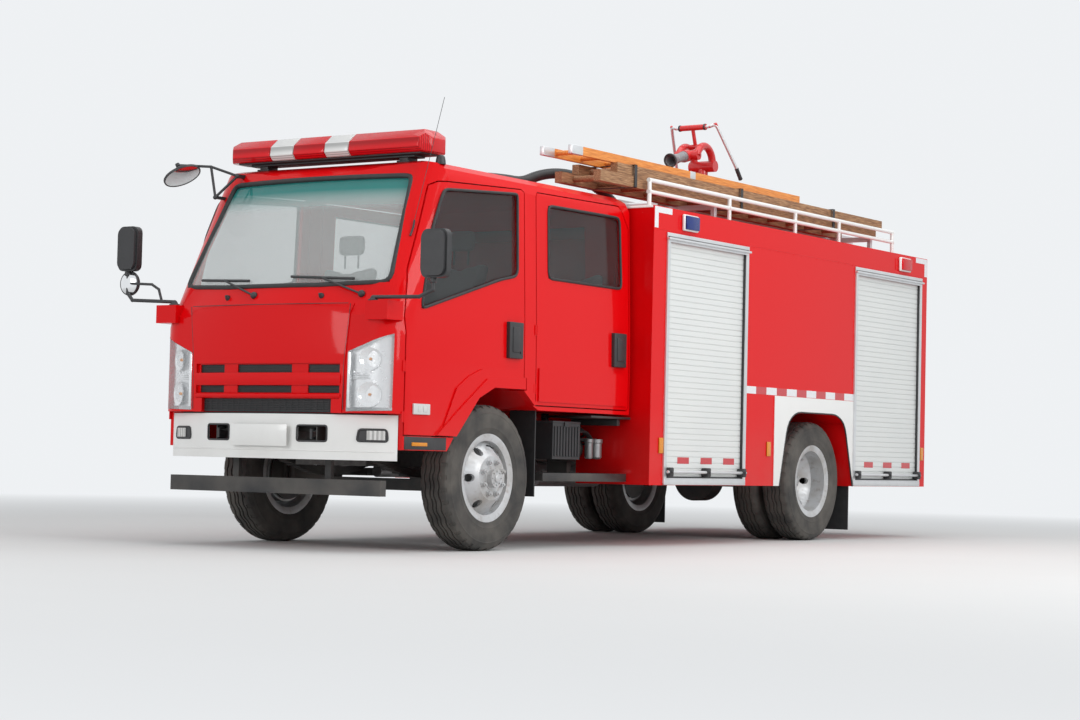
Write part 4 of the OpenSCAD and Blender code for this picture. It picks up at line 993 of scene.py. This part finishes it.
# %% Mirrors
ROUND_MIRROR, DISH, DISH_TILT = at(-1.305, -1.102, 1.750), at(-1.064, -0.880, 2.538), math.radians(150)
dish_axis = Vector((math.sin(DISH_TILT), 0, math.cos(DISH_TILT)))
heads = Piece("mirror_clamps")
glass = Piece("mirror_glass")
for x, z, half in ((1.290, 1.878, 0.087), (-1.302, 1.985, 0.075)):
    face = at(x, -1.067, z)
    glass.block(face + Vector((-half, 0.0002, -0.138)), face + Vector((half, 0.0022, 0.138)), 0.001)
    bent = [face + Vector((sx * (half + 0.006), 0.001, sz * 0.1445))
            for sx, sz in ((1, 1), (-1, 1), (-1, -1), (1, -1))]
    heads.tube(rounded(bent, 0.035), 0.0035, closed=True)
    heads.rod(at(x - 0.010, -1.100, z - 0.182), at(x - 0.010, -1.100, z - 0.150), 0.022, 0.017, bevel=0.002)
glass.turned([(0.0, -0.012), (0.030, -0.010), (0.058, -0.003), (0.0765, 0.010), (0.0765, 0.014)],
             ROUND_MIRROR, (0, 1, 0), 40)
heads.turned([(0.0760, 0.008), (0.0815, 0.010), (0.0835, 0.016), (0.0835, 0.030), (0.0800, 0.036),
              (0.070, 0.0362)], ROUND_MIRROR, (0, 1, 0), 40)
glass.turned([(0.0, 0.066), (0.05, 0.064), (0.10, 0.056), (0.124, 0.0505)], DISH, dish_axis, 40)
heads.turned([(0.1255, 0.0505), (0.131, 0.053), (0.1325, 0.048), (0.1325, 0.040), (0.129, 0.036)], DISH,
             dish_axis, 40)
for spot in ((-1.059, -0.880, 2.529), (-1.084, -0.880, 2.5726)):
    heads.rod(at(*spot) - dish_axis * 0.012, at(*spot) + dish_axis * 0.010, 0.016, sides=16, bevel=0.002)
for x in (0.840, -0.840):
    heads.turned([(0.0, 0.030), (0.014, 0.028), (0.020, 0.018), (0.024, 0.010), (0.034, 0.006),
                  (0.036, 0.0)], at(x, -1.135, 1.5905), (0, 0, 1), 28)
heads.done(plastic, angle=40)
glass.done(chrome)

# %% [markdown]
# Door furniture: a tall black recessed handle, a small clear repeater lamp near the
# wheel arch, and the amber marker on the dark sill below.

# %% Doors and sill
for shape, body in (("front", "door_front"), ("rear", "door_rear")):
    y = 0.215 if shape == "front" else 1.540
    for side, name in SIDES:
        handle = Piece(f"handle_{shape}_{name}")
        handle.block(at(0.975, y - 0.081, 1.289), at(1.0165, y + 0.081, 1.533), 0.006, 3)
        handle.block(at(1.012, y - 0.048, 1.330), at(1.0235, y + 0.030, 1.500), 0.006, 3)
        handle.rod(at(1.014, y + 0.052, 1.330), at(1.021, y + 0.052, 1.330), 0.010, sides=20, bevel=0.001)
        handle.on_side(side).done(plastic, f"{body}_{name}")
for side, name in SIDES:
    repeater = Piece(f"repeater_{name}")
    repeater.block(at(0.988, -0.899, 0.883), at(1.0035, -0.725, 0.952), 0.0045, 3)
    repeater.block(at(0.998, -0.860, 0.898), at(1.0060, -0.820, 0.937), 0.003)
    repeater.block(at(0.998, -0.800, 0.898), at(1.0060, -0.760, 0.937), 0.003)
    repeater.on_side(side).done(lens_white, f"door_front_{name}")
sill = Piece("sill_strips")
sill.block(at(0.946, -0.972, 0.658), at(0.9935, -0.530, 0.742), 0.006)
sill.mirrored().done(plastic)
markers = Piece("sill_markers")
markers.block(at(0.990, -0.904, 0.682), at(0.9985, -0.740, 0.706), 0.003)
markers.mirrored().done(lens_amber)

# %% [markdown]
# The fire body is a plain red box, so its trim gives it scale: a drip rail over each
# shutter, a bright sill below, tape in red and white squares along the wheel arch's
# white panel, and tape at the corners. Tape is a film, modelled 1 mm thick.

# %% Fire body trim
HALF = 1.150
rails = Piece("shutter_rails")
for y0, y1 in ((1.925, 3.170), (5.037, 6.374)):
    rails.block(at(HALF + 0.0005, y0, 2.246), at(HALF + 0.032, y1, 2.262), 0.003)
    rails.block(at(HALF + 0.0005, y0, 2.260), at(HALF + 0.012, y1, 2.297), 0.003)
    rails.block(at(HALF + 0.0005, y0 + 0.01, 0.450), at(HALF + 0.016, y1 - 0.01, 0.492), 0.003)
    rails.rod(at(HALF + 0.030, y0 + 0.03, 0.545), at(HALF + 0.030, y1 - 0.03, 0.545), 0.011, sides=16,
              bevel=0.002)
rails.mirrored().done(alloy)
CURTAINS = ((1.952, 3.143), (5.064, 6.347))
clamps = Piece("shutter_clamps")
for y0, y1 in CURTAINS:
    for y in (y0 + 0.045, (y0 + y1) / 2, y1 - 0.045):
        clamps.block(at(1.138, y - 0.028, 0.512), at(HALF + 0.046, y + 0.028, 0.578), 0.008)
        clamps.rod(at(HALF + 0.040, y, 0.545), at(HALF + 0.052, y, 0.545), 0.012, sides=16, bevel=0.002)
    clamps.block(at(1.137, y1 - 0.024, 0.492), at(HALF + 0.006, y1 - 0.006, 2.238), 0.003)
    clamps.block(at(1.137, y0 + 0.002, 0.4905), at(HALF + 0.001, y1 - 0.002, 0.512), 0.003)
clamps.mirrored().done(plastic)

pads = Piece("shutter_tape")
for y0, y1 in CURTAINS:
    for k in range(3):
        y = y0 + (y1 - y0) * (0.255 + 0.29 * k)
        pads.block(at(1.1330, y - 0.085, 0.606), at(1.1352, y + 0.085, 0.654), 0.0006, 1)
pads.mirrored().done(tape_red, slot="red_lens")

whites, reds = Piece("tape_white"), Piece("tape_red")
CHECKS, CHECK_START, CHECK_END = 11, 3.163, 5.044
strips = [((whites, reds)[k % 2], CHECK_START + (CHECK_END - CHECK_START) * k / CHECKS,
           CHECK_START + (CHECK_END - CHECK_START) * (k + 1) / CHECKS, 1.163, 1.220) for k in range(CHECKS)]
strips += [(whites, 1.752, 1.805, 2.318, 2.474), (whites, 6.433, 6.486, 2.318, 2.474),
           (whites, 1.806, 2.000, 2.430, 2.474), (whites, 6.250, 6.432, 2.430, 2.474)]
for target, y0, y1, z0, z1 in strips:
    target.block(at(HALF + 0.0002, y0, z0), at(HALF + 0.0012, y1, z1), 0.0002, 1)
whites.mirrored().done(tape)
reds.mirrored().done(tape_red)

# %% [markdown]
# The white panel round the rear arch is one sheet with the arch cut out of it. It is
# drawn as a strip of quads between the panel's edge and the arch's rounded edge, then
# given a thickness.

# %% White arch panel
ARCH_MIDDLE = 4.3
ARCH = [(3.740, 0.447), (3.870, 0.950), (4.010, 1.040), (4.740, 1.040), (4.890, 0.965), (5.050, 0.447)]


def rim(points, reach):
    """An open outline with its inner corners rounded."""
    flat = [Vector((y, z, 0)) for y, z in points]
    out = [flat[0]]
    for a, b, c in zip(flat, flat[1:], flat[2:]):
        out += rounded([a, b, c], reach)[4:8]
    return out + [flat[-1]]


SHEET_FRONT, SHEET_REAR, SHEET_TOP = 3.645, 5.0575, 1.160
sheet = Piece("arch_panel")
inner = rim(ARCH, 0.09)
outer = []
for p in inner:
    if p.x < ARCH_MIDDLE and p.y < 0.9:
        outer.append((SHEET_FRONT, p.y))
    elif p.x > ARCH_MIDDLE and p.y < 0.93:
        outer.append((SHEET_REAR, p.y))
    else:
        along = SHEET_FRONT + (p.x - 3.87) / (4.89 - 3.87) * (SHEET_REAR - SHEET_FRONT)
        outer.append((min(SHEET_REAR, max(SHEET_FRONT, along)), SHEET_TOP))
rows = [[sheet.bm.verts.new(at(HALF + 0.0004, y, z)) for y, z in ((p.x, p.y), o)]
        for p, o in zip(inner, outer)]
for a, b in zip(rows, rows[1:]):
    sheet.bm.faces.new((a[0], a[1], b[1], b[0]))
corner_rows = [(a, b) for a, b in zip(rows, rows[1:])
               if abs(a[1].co.z - b[1].co.z) > 0.05 and max(a[1].co.z, b[1].co.z) > SHEET_TOP - 0.01]
for a, b in corner_rows:
    corner = (SHEET_FRONT if a[1].co.y < ARCH_MIDDLE + AXLE else SHEET_REAR, SHEET_TOP)
    spot = sheet.bm.verts.new(at(HALF + 0.0004, *corner))
    sheet.bm.faces.new((a[1], spot, b[1]))
grown = bmesh.ops.extrude_face_region(sheet.bm, geom=sheet.bm.faces[:])["geom"]
bmesh.ops.translate(sheet.bm, vec=(0.0022, 0, 0), verts=verts_in(grown))
lip = Piece("arch_lip")
lip.tube([at(HALF + 0.001, p.x, p.y) for p in inner], 0.006)
sheet.mirrored().done(white)
lip.mirrored().done(plastic)

# %% [markdown]
# Side lamps and reflectors: each is a coloured lens in a pale bezel that stands a few
# centimetres off the panel. The bezel's corners are rounded more than the lens's. At
# the back, three lenses share one dark housing on each side.

# %% Side and tail lamps
bezels, housings = Piece("lamp_bezels"), Piece("tail_lamp_housings")
blue_lamps, red_lamps = Piece("blue_lamps"), Piece("red_lamps")
ambers, clears = Piece("amber_lamps"), Piece("reversing_lamps")
for y0, y1, target in ((2.153, 2.340, blue_lamps), (5.903, 6.090, red_lamps)):
    bezels.block(at(HALF + 0.0005, y0 - 0.013, 2.329), at(HALF + 0.026, y1 + 0.013, 2.451), 0.010, 3)
    target.block(at(HALF + 0.020, y0 - 0.001, 2.339), at(HALF + 0.0425, y1 + 0.001, 2.441), 0.007, 3)
for y in (1.868, 3.520, 6.392):
    ambers.block(at(HALF + 0.0005, y - 0.001, 0.679), at(HALF + 0.0095, y + 0.061, 0.793), 0.004, 3)
housings.block(at(0.780, 6.4915, 0.620), at(1.100, 6.520, 0.760), 0.006, 3)
for x, target in ((0.836, clears), (0.940, ambers), (1.044, red_lamps)):
    target.block(at(x - 0.047, 6.512, 0.632), at(x + 0.047, 6.5275, 0.748), 0.006, 3)
for piece, finish in ((bezels, white), (housings, plastic), (blue_lamps, lens_blue), (red_lamps, lens_red),
                      (ambers, lens_amber), (clears, lens_white)):
    piece.mirrored().done(finish, replaces=("marker_lamps",) if piece is ambers else ())

# %% [markdown]
# The back of the body: a bright handle bar and clamps on the rear shutter, a ladder up
# to the roof and a ribbed top on the step.

# %% Rear fittings
rear = Piece("rear_ladder")
BACK = 6.491
for x in (-0.98, -0.76):
    rear.tube([at(x, BACK + 0.004, 0.86), at(x, BACK + 0.075, 0.90), at(x, BACK + 0.075, 2.40),
               at(x, BACK + 0.03, 2.47), at(x, BACK - 0.05, 2.485)], 0.014)
for k in range(6):
    rear.rod(at(-0.98, BACK + 0.075, 1.02 + 0.26 * k), at(-0.76, BACK + 0.075, 1.02 + 0.26 * k), 0.011,
             sides=14)
rear.rod(at(-0.62, BACK + 0.030, 1.005), at(0.62, BACK + 0.030, 1.005), 0.011, sides=16, bevel=0.002)
rear.block(at(-0.73, BACK + 0.0005, 2.246), at(0.73, BACK + 0.032, 2.262), 0.003)
rear.done(alloy)
stops = Piece("rear_clamps")
for x in (-0.6, 0.0, 0.6):
    stops.block(at(x - 0.028, BACK - 0.012, 0.972), at(x + 0.028, BACK + 0.046, 1.038), 0.008)
stops.done(plastic)
tread = Piece("step_tread")
for x in spread(-1.075, 1.075, 44):
    tread.block(at(x - 0.014, BACK + 0.012, 0.4995), at(x + 0.006, BACK + 0.100, 0.5035), 0.0015, 1)
tread.done(alloy)

# %% [markdown]
# Seams keep a large panel from looking like one block: a shallow bead marks where two
# sheets of the body meet, and small rivets hold the roof's edge strip.

# %% Seams, rivets and the roof's edge
seams = Piece("body_seams")
seams.tube([at(HALF + 0.0002, 3.625, 0.450), at(HALF + 0.0002, 3.625, 1.155)], 0.0018)
seams.tube([at(HALF + 0.0002, 1.762, 2.310), at(HALF + 0.0002, 6.476, 2.310)], 0.0016)
seams.mirrored().done(red)
strip = Piece("roof_edge")
strip.block(at(-1.140, 1.737, 2.462), at(1.140, 1.7465, 2.481), 0.003)
strip.block(at(-1.148, 1.746, 2.4795), at(1.148, 1.790, 2.4825), 0.001, 1)
strip.done(white)
rivets = Piece("rivets")
RIVET = [(0.0, 0.0028), (0.004, 0.0022), (0.006, 0.0)]
for side in (1, -1):
    for y in spread(1.80, 6.45, 36):
        rivets.turned(RIVET, at(side * HALF, y, 2.300), (side, 0, 0), 8)
for x in spread(-1.05, 1.05, 12):
    rivets.turned(RIVET, at(x, 1.745, 2.43), (0, -1, 0), 8)
rivets.done(red)

# %% [markdown]
# On the roof, each rail post stands on a small flange, the wooden poles are bound with
# straps, and the suction hose has the raised spiral of its wire.

# %% Roof gear
ROOF = 2.479
flanges = Piece("rail_flanges")
for side in (1, -1):
    for y in (1.834, 3.032, 4.130, 4.920, 5.960):
        flanges.turned([(0.016, 0.010), (0.030, 0.008), (0.034, 0.004), (0.034, 0.0003)],
                       at(side * 1.050, y, ROOF), (0, 0, 1), 24)
        flanges.turned([(0.0165, -0.012), (0.0205, -0.010), (0.0205, 0.010), (0.0165, 0.012)],
                       at(side * 1.050, y, 2.590), (0, 1, 0), 20)
flanges.done(white)
hose = Piece("hose_spiral")
HOSE_D, HOSE_LOW, HOSE_HUMP = 0.076, 0.600, 1.500
HOSE_BEND, HOSE_END, HOSE_STEP, SPIRAL_PITCH = 1.05, 5.2, 0.004, 0.024
climb = math.radians(20)
HOSE_Z, DECK_Z = 2.572 + HOSE_D / 2 + 0.002, ROOF + HOSE_D / 2 + 0.0003
fall = math.acos(((HOSE_LOW + HOSE_HUMP) * math.cos(climb) + DECK_Z - HOSE_Z) / (HOSE_LOW + HOSE_HUMP))


def hose_line():
    """The middle line of one leg of the suction hose, from the bend to its end."""
    points, y, z, slope = [], HOSE_BEND, HOSE_Z, 0.0
    for radius, target in ((HOSE_LOW, climb), (-HOSE_HUMP, -fall), (HOSE_LOW, 0.0)):
        count = max(2, int(abs(radius * (target - slope)) / HOSE_STEP))
        turn = (target - slope) / count
        for _ in range(count):
            points.append(Vector((0, y, z)))
            chord = abs(radius * turn)
            y += chord * math.cos(slope + turn / 2)
            z += chord * math.sin(slope + turn / 2)
            slope += turn
    count = int((HOSE_END - y) / HOSE_STEP)
    return points + [Vector((0, y + (HOSE_END - y) * k / count, z)) for k in range(count + 1)]


line = hose_line()
for x in (-0.380, 0.380):
    spiral = []
    for k, (a, b) in enumerate(zip(line, line[1:])):
        up_dir = Vector((1, 0, 0)).cross((b - a).normalized()).normalized()
        turn = k * HOSE_STEP / SPIRAL_PITCH * math.tau
        offset = (Vector((1, 0, 0)) * math.cos(turn) + up_dir * math.sin(turn)) * (HOSE_D / 2)
        spiral.append(at(x, a.y, a.z) + offset)
    hose.tube(spiral, 0.0035, rings=2)
hose.done(rubber)
couplings = Piece("hose_couplings")
for x in (-0.380, 0.380):
    couplings.turned([(0.030, -0.01), (0.044, -0.008), (0.044, 0.050), (0.052, 0.054), (0.056, 0.060),
                      (0.056, 0.085), (0.050, 0.090), (0.030, 0.090)], at(x, 5.150, DECK_Z + 0.012),
                     (0, 1, 0), 28)
    for dx, dz in circle(3, 0.056, 0.5):
        lug, half = at(x + dx, 5.220, DECK_Z + dz + 0.012), Vector((0.009, 0.012, 0.009))
        couplings.block(lug - half, lug + half, 0.003)
couplings.done(alloy)

straps = Piece("ladder_straps")
STRAP_SIDES = ((0.595, 1.005, 2.6095, 2.6135), (0.595, 1.005, 2.772, 2.7765),
               (0.595, 0.599, 2.6095, 2.7765), (1.001, 1.005, 2.6095, 2.7765))
for y in (1.70, 3.30, 4.90):
    for x0, x1, z0, z1 in STRAP_SIDES:
        straps.block(at(x0, y, z0), at(x1, y + 0.035, z1), 0.0008, 1)
straps.done(plastic)
irons = Piece("ladder_irons")
for x in (0.690, 0.930):
    irons.block(at(x - 0.018, 0.946, 2.7695), at(x + 0.018, 1.090, 2.8335), 0.004)
    irons.block(at(x - 0.019, 2.60, 2.7685), at(x + 0.019, 2.68, 2.8345), 0.004)
irons.done(alloy)

# %% [markdown]
# Under the cab's rear, the space in front of the body is open: a ribbed battery case
# under a lid, a strapped fuel tank, an air tank, small filters and the cab's pipes. They
# are dark, but they stop the gap from looking empty.

# %% Chassis fittings
case = Piece("battery_ribs")
for k in range(9):
    case.block(at(0.8995, 0.870 + k * 0.037, 0.640), at(0.908, 0.888 + k * 0.037, 0.850), 0.002, 1)
case.block(at(0.430, 0.846, 0.872), at(0.9045, 1.204, 0.8875), 0.005)
case.block(at(0.899, 0.990, 0.845), at(0.912, 1.060, 0.885), 0.004)
case.done(plastic)
bands = Piece("tank_straps")
for y in (0.960, 1.340):
    bands.block(at(-0.9045, y, 0.5555), at(-0.4255, y + 0.045, 0.5605), 0.001, 1)
    bands.block(at(-0.9045, y, 0.5555), at(-0.8995, y + 0.045, 0.9045), 0.001, 1)
    bands.block(at(-0.9045, y, 0.8995), at(-0.4255, y + 0.045, 0.9045), 0.001, 1)
bands.turned([(0.0, 0.020), (0.040, 0.020), (0.044, 0.014), (0.044, -0.002)], at(-0.900, 1.160, 0.800),
             (-1, 0, 0), 28)
bands.done(zinc)
vessels = Piece("air_tank_and_filters")
vessels.turned([(0.0, -0.150), (0.060, -0.145), (0.088, -0.125), (0.095, -0.100), (0.095, 0.100),
                (0.088, 0.125), (0.060, 0.145), (0.0, 0.150)], at(0.620, 1.420, 0.700), (0, 1, 0), 36)
for y in (1.35, 1.49):
    vessels.block(at(0.4255, y - 0.012, 0.690), at(0.545, y + 0.012, 0.800), 0.003)
vessels.done(chassis)
filters = Piece("filter_bowls")
for y, radius in ((1.640, 0.040), (1.540, 0.030)):
    filters.turned([(0.0, -0.075), (radius * 0.8, -0.072), (radius, -0.060), (radius, 0.040),
                    (radius * 1.15, 0.045), (radius * 1.15, 0.070), (0.0, 0.072)], at(0.760, y, 0.700),
                   (0, 0, 1), 24)
    filters.rod(at(0.4255, y, 0.765), at(0.760, y, 0.765), 0.010, sides=12)
filters.done(zinc)
pipes = Piece("cab_pipes")
for k, (x, z) in enumerate(((0.70, 0.82), (0.66, 0.85), (0.74, 0.80))):
    pipes.tube(rounded([at(x, 1.220, z - 0.16), at(x, 1.300, z), at(x + 0.02, 1.500, z + 0.03),
                        at(x - 0.03, 1.700, z - 0.06), at(0.43, 1.72, z - 0.08)], 0.06, 4), 0.009)
pipes.done(rubber)
shelf = Piece("shelf_plate")
shelf.block(at(0.560, 1.215, 0.918), at(0.985, 1.7445, 0.934), 0.004)
shelf.block(at(0.5605, 1.600, 0.870), at(0.960, 1.640, 0.920), 0.004)
shelf.mirrored().done(chassis)
treads = Piece("side_step_tread")
for side in (1, -1):
    for y in spread(0.665, 1.705, 34):
        treads.block(at(side * 0.760 - 0.170, y - 0.008, 0.5195),
                     at(side * 0.760 + 0.170, y + 0.008, 0.5235), 0.0015, 1)
    treads.block(at(side * 0.960 - 0.004, 0.642, 0.466), at(side * 0.960 + 0.004, 1.733, 0.524), 0.003)
treads.done(chassis)

# %% [markdown]
# Seats are foam under cloth. Each pad starts as a slightly small rounded block, and
# Cloth with a little pressure swells it until its sides crown and its corners pull in.
# Then sewn channels are pressed into it.

# %% Seat pads
PAD_IN, PAD_EDGE, PAD_VOXEL, PAD_SWELL = 0.010, 0.030, 0.020, 0.006
PRESSURE, SWELL_FRAMES = 3.0, 14
CHANNEL_DEPTH, CHANNEL_WIDTH = 0.010, 0.012


def pad(name, low, high, lean=0.0, hinge=None, channels=(), across="x"):
    """A stuffed pad between two corners, leaned about a line along X."""
    piece = Piece(name)
    low, high, inward = at(*low), at(*high), Vector((PAD_IN,) * 3)
    piece.block(low + inward, high - inward, PAD_EDGE, 3)
    bmesh.ops.triangulate(piece.bm, faces=piece.bm.faces[:])
    made = piece.done(cloth, angle=80)
    bpy.context.view_layer.objects.active = made
    remesh = made.modifiers.new("remesh", "REMESH")
    remesh.mode, remesh.voxel_size, remesh.use_smooth_shade = "VOXEL", PAD_VOXEL, True
    stuffed = made.modifiers.new("cloth", "CLOTH")
    stuffed.settings.use_pressure, stuffed.settings.uniform_pressure_force = True, PRESSURE
    stuffed.settings.quality = 4
    stuffed.settings.effector_weights.gravity = 0.0
    for frame_number in range(1, SWELL_FRAMES + 1):
        bpy.context.scene.frame_set(frame_number)
    soft = bpy.data.meshes.new_from_object(made.evaluated_get(bpy.context.evaluated_depsgraph_get()))
    made.modifiers.clear()
    made.data = soft
    size, middle = (high - low) / 2, (high + low) / 2
    for vert in soft.vertices:
        for k in range(3):
            reach = size[k] + PAD_SWELL
            vert.co[k] = min(middle[k] + reach, max(middle[k] - reach, vert.co[k]))
        for line_at in channels:
            gap = (vert.co.x - middle.x) if across == "x" else (vert.co.z - middle.z)
            depth = CHANNEL_DEPTH * math.exp(-((gap - line_at) / CHANNEL_WIDTH) ** 2)
            vert.co += (middle - vert.co).normalized() * depth
    if lean:
        line = Matrix.Translation(at(*hinge))
        soft.transform(line @ Matrix.Rotation(lean, 4, "X") @ line.inverted())
    for polygon in soft.polygons:
        polygon.use_smooth = True
    soft.materials.clear()
    soft.materials.append(cloth.material)
    rest = made.modifiers.new("finish", "SUBSURF")
    rest.levels = rest.render_levels = 1
    return made


for side, name in SIDES:
    x = side * 0.480
    first = pad(f"seat_cushion_{name}", (x - 0.25, -0.30, 1.232), (x + 0.25, 0.17, 1.368),
                channels=(-0.13, 0.13))
    pad(f"seat_back_{name}", (x - 0.25, 0.135, 1.375), (x + 0.25, 0.235, 1.985), -0.19, (x, 0.185, 1.37),
        (-0.13, 0.13))
    pad(f"head_rest_{name}", (x - 0.12, 0.252, 2.022), (x + 0.12, 0.338, 2.188))
    if side > 0:
        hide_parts("front_seats")
bench = pad("bench_cushion", (-0.850, 1.122, 1.332), (0.850, 1.580, 1.450), channels=(-0.29, 0.29))
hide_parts("rear_bench")
pad("bench_back", (-0.850, 1.540, 1.452), (0.850, 1.650, 2.000), channels=(-0.29, 0.29))
bases = Piece("seat_bases")
for x in (-0.480, 0.480):
    bases.block(at(x - 0.21, -0.240, 1.1305), at(x + 0.21, 0.110, 1.232), 0.010)
    for dx in (-0.06, 0.06):
        bases.rod(at(x + dx, 0.295, 1.94), at(x + dx, 0.295, 2.05), 0.007, sides=12)
bases.block(at(-0.850, 1.200, 1.0105), at(0.850, 1.560, 1.334), 0.012)
bases.done(plastic)

# %% [markdown]
# The driver's wheel has a thick rim, turned from a small circle, and a hub. The dash
# gets a dial hood and a flat panel on the other side.

# %% Steering wheel and dash
WHEEL_MIDDLE = at(0.480, -0.560, 1.610)
wheel_rim = Piece("steering_wheel_rim")
lean_axis = Vector((0, 0.5, math.cos(math.radians(30))))
wheel_rim.turned([(0.210 + 0.0158 * math.cos(a), 0.0158 * math.sin(a))
                  for a in (math.tau * k / 14 for k in range(15))], WHEEL_MIDDLE, lean_axis, 64)
wheel_rim.turned([(0.0, 0.016), (0.035, 0.014), (0.050, 0.004), (0.052, -0.030)], WHEEL_MIDDLE, lean_axis,
                 32)
wheel_rim.done(plastic, "steering_wheel")
dials = Piece("dash_top")
dials.block(at(0.300, -0.842, 1.560), at(0.660, -0.770, 1.640), 0.025, 3)
dials.block(at(-0.700, -0.768, 1.415), at(-0.300, -0.752, 1.470), 0.006)
dials.done(plastic)
paint(plastic, "steering_wheel")

# %% [markdown]
# The monitor turns and lifts, so its fittings ride on its own bodies. Its barrel is a
# copy of the CAD shape in red, cut off at the nozzle by a plane. The nozzle itself is
# turned with an open mouth, and the handles get bright sleeves and black grips.

# %% Monitor
MON_Y, PIVOT_Z = WHEELBASE - 0.035, 3.130
base_bolts = Piece("monitor_base_bolts")
for x, y in circle(8, 0.095):
    spot = at(x, MON_Y + y, 2.4995)
    base_bolts.rod(spot, spot + Vector((0, 0, 0.012)), 0.010, sides=6, bevel=0.001)
base_bolts.done(zinc)
ring = Piece("monitor_base_ring")
ring.turned([(0.0405, -0.035), (0.058, -0.033), (0.060, -0.030), (0.060, -0.004), (0.058, -0.0015),
             (0.0405, -0.001)], at(0, MON_Y, 2.990), (0, 0, 1), 40)
ring.turned([(0.0405, -0.420), (0.047, -0.418), (0.047, -0.400), (0.0405, -0.398)], at(0, MON_Y, 2.990),
            (0, 0, 1), 32)
ring.done(red_metal)
collar = Piece("monitor_collar")
collar.turned([(0.0605, 0.004), (0.069, 0.005), (0.071, 0.008), (0.071, 0.024), (0.068, 0.028),
               (0.0605, 0.029)], at(0, MON_Y, 2.992), (0, 0, 1), 40)
for x, y in circle(10, 0.070):
    spot = at(x, MON_Y + y, 3.008)
    collar.rod(spot, spot + Vector((x, y, 0)).normalized() * 0.008, 0.005, sides=6)
collar.done(red_metal, "monitor_swivel")

NECK_END = at(0, MON_Y - 0.26186, PIVOT_Z + 0.06617)
AIM = Vector((0, -math.cos(math.radians(15)), -math.sin(math.radians(15))))
barrel = Piece("monitor_barrel_skin").copied("monitor_barrel")
bmesh.ops.bisect_plane(barrel.bm, geom=whole(barrel.bm), dist=1e-6,
                       plane_co=NECK_END + AIM * 0.074, plane_no=AIM, clear_outer=True)
barrel.done(red_metal, "monitor_barrel", 34, ("monitor_barrel",), outward=False)
nozzle = Piece("monitor_nozzle")
nozzle.turned([(0.036, 0.060), (0.044, 0.064), (0.046, 0.072), (0.046, 0.094), (0.0395, 0.098),
               (0.0390, 0.190), (0.0415, 0.193), (0.0415, 0.204), (0.0390, 0.207), (0.0400, 0.228),
               (0.0555, 0.290)], NECK_END, AIM, 40)
nozzle.turned([(0.0, 0.150), (0.024, 0.150), (0.026, 0.236), (0.048, 0.300)], NECK_END, AIM, 40)
nozzle.done(hammered, "monitor_barrel", outward=False)
tip = Piece("monitor_nozzle_tip")
tip.turned([(0.0545, 0.286), (0.0590, 0.288), (0.0600, 0.292), (0.0600, 0.301), (0.0570, 0.3045),
            (0.0500, 0.3045), (0.0470, 0.299), (0.0455, 0.290)], NECK_END, AIM, 40)
sleeves = Piece("monitor_handle_tubes")
HANDLE = ((0.131, -0.190, 0.310), (0.165, -0.190, 0.310), (0.215, -0.175, 0.330), (0.290, 0.060, -0.020))
for side in (1, -1):
    path = [at(side * x, MON_Y + y, PIVOT_Z + z) for x, y, z in HANDLE]
    middle = rounded(path, 0.03)[4:-4]
    end = at(side * 0.300, MON_Y + 0.120, PIVOT_Z - 0.110)
    sleeves.tube([path[0]] + middle + [path[-1]], 0.0138, rings=8)
    tip.tube([path[-1], end], 0.0175, rings=8)
    tip.turned([(0.0, 0.004), (0.012, 0.003), (0.0185, -0.002), (0.0185, -0.012)], end,
               (end - path[-1]).normalized(), 20)
for x in (0.112, -0.130):
    tip.turned([(0.0245, 0.0), (0.027, 0.002), (0.027, 0.016), (0.0245, 0.018)],
               at(x, MON_Y - 0.190, PIVOT_Z + 0.310), (1, 0, 0), 24)
tip.done(plastic, "monitor_barrel", outward=False)
sleeves.done(alloy, "monitor_barrel")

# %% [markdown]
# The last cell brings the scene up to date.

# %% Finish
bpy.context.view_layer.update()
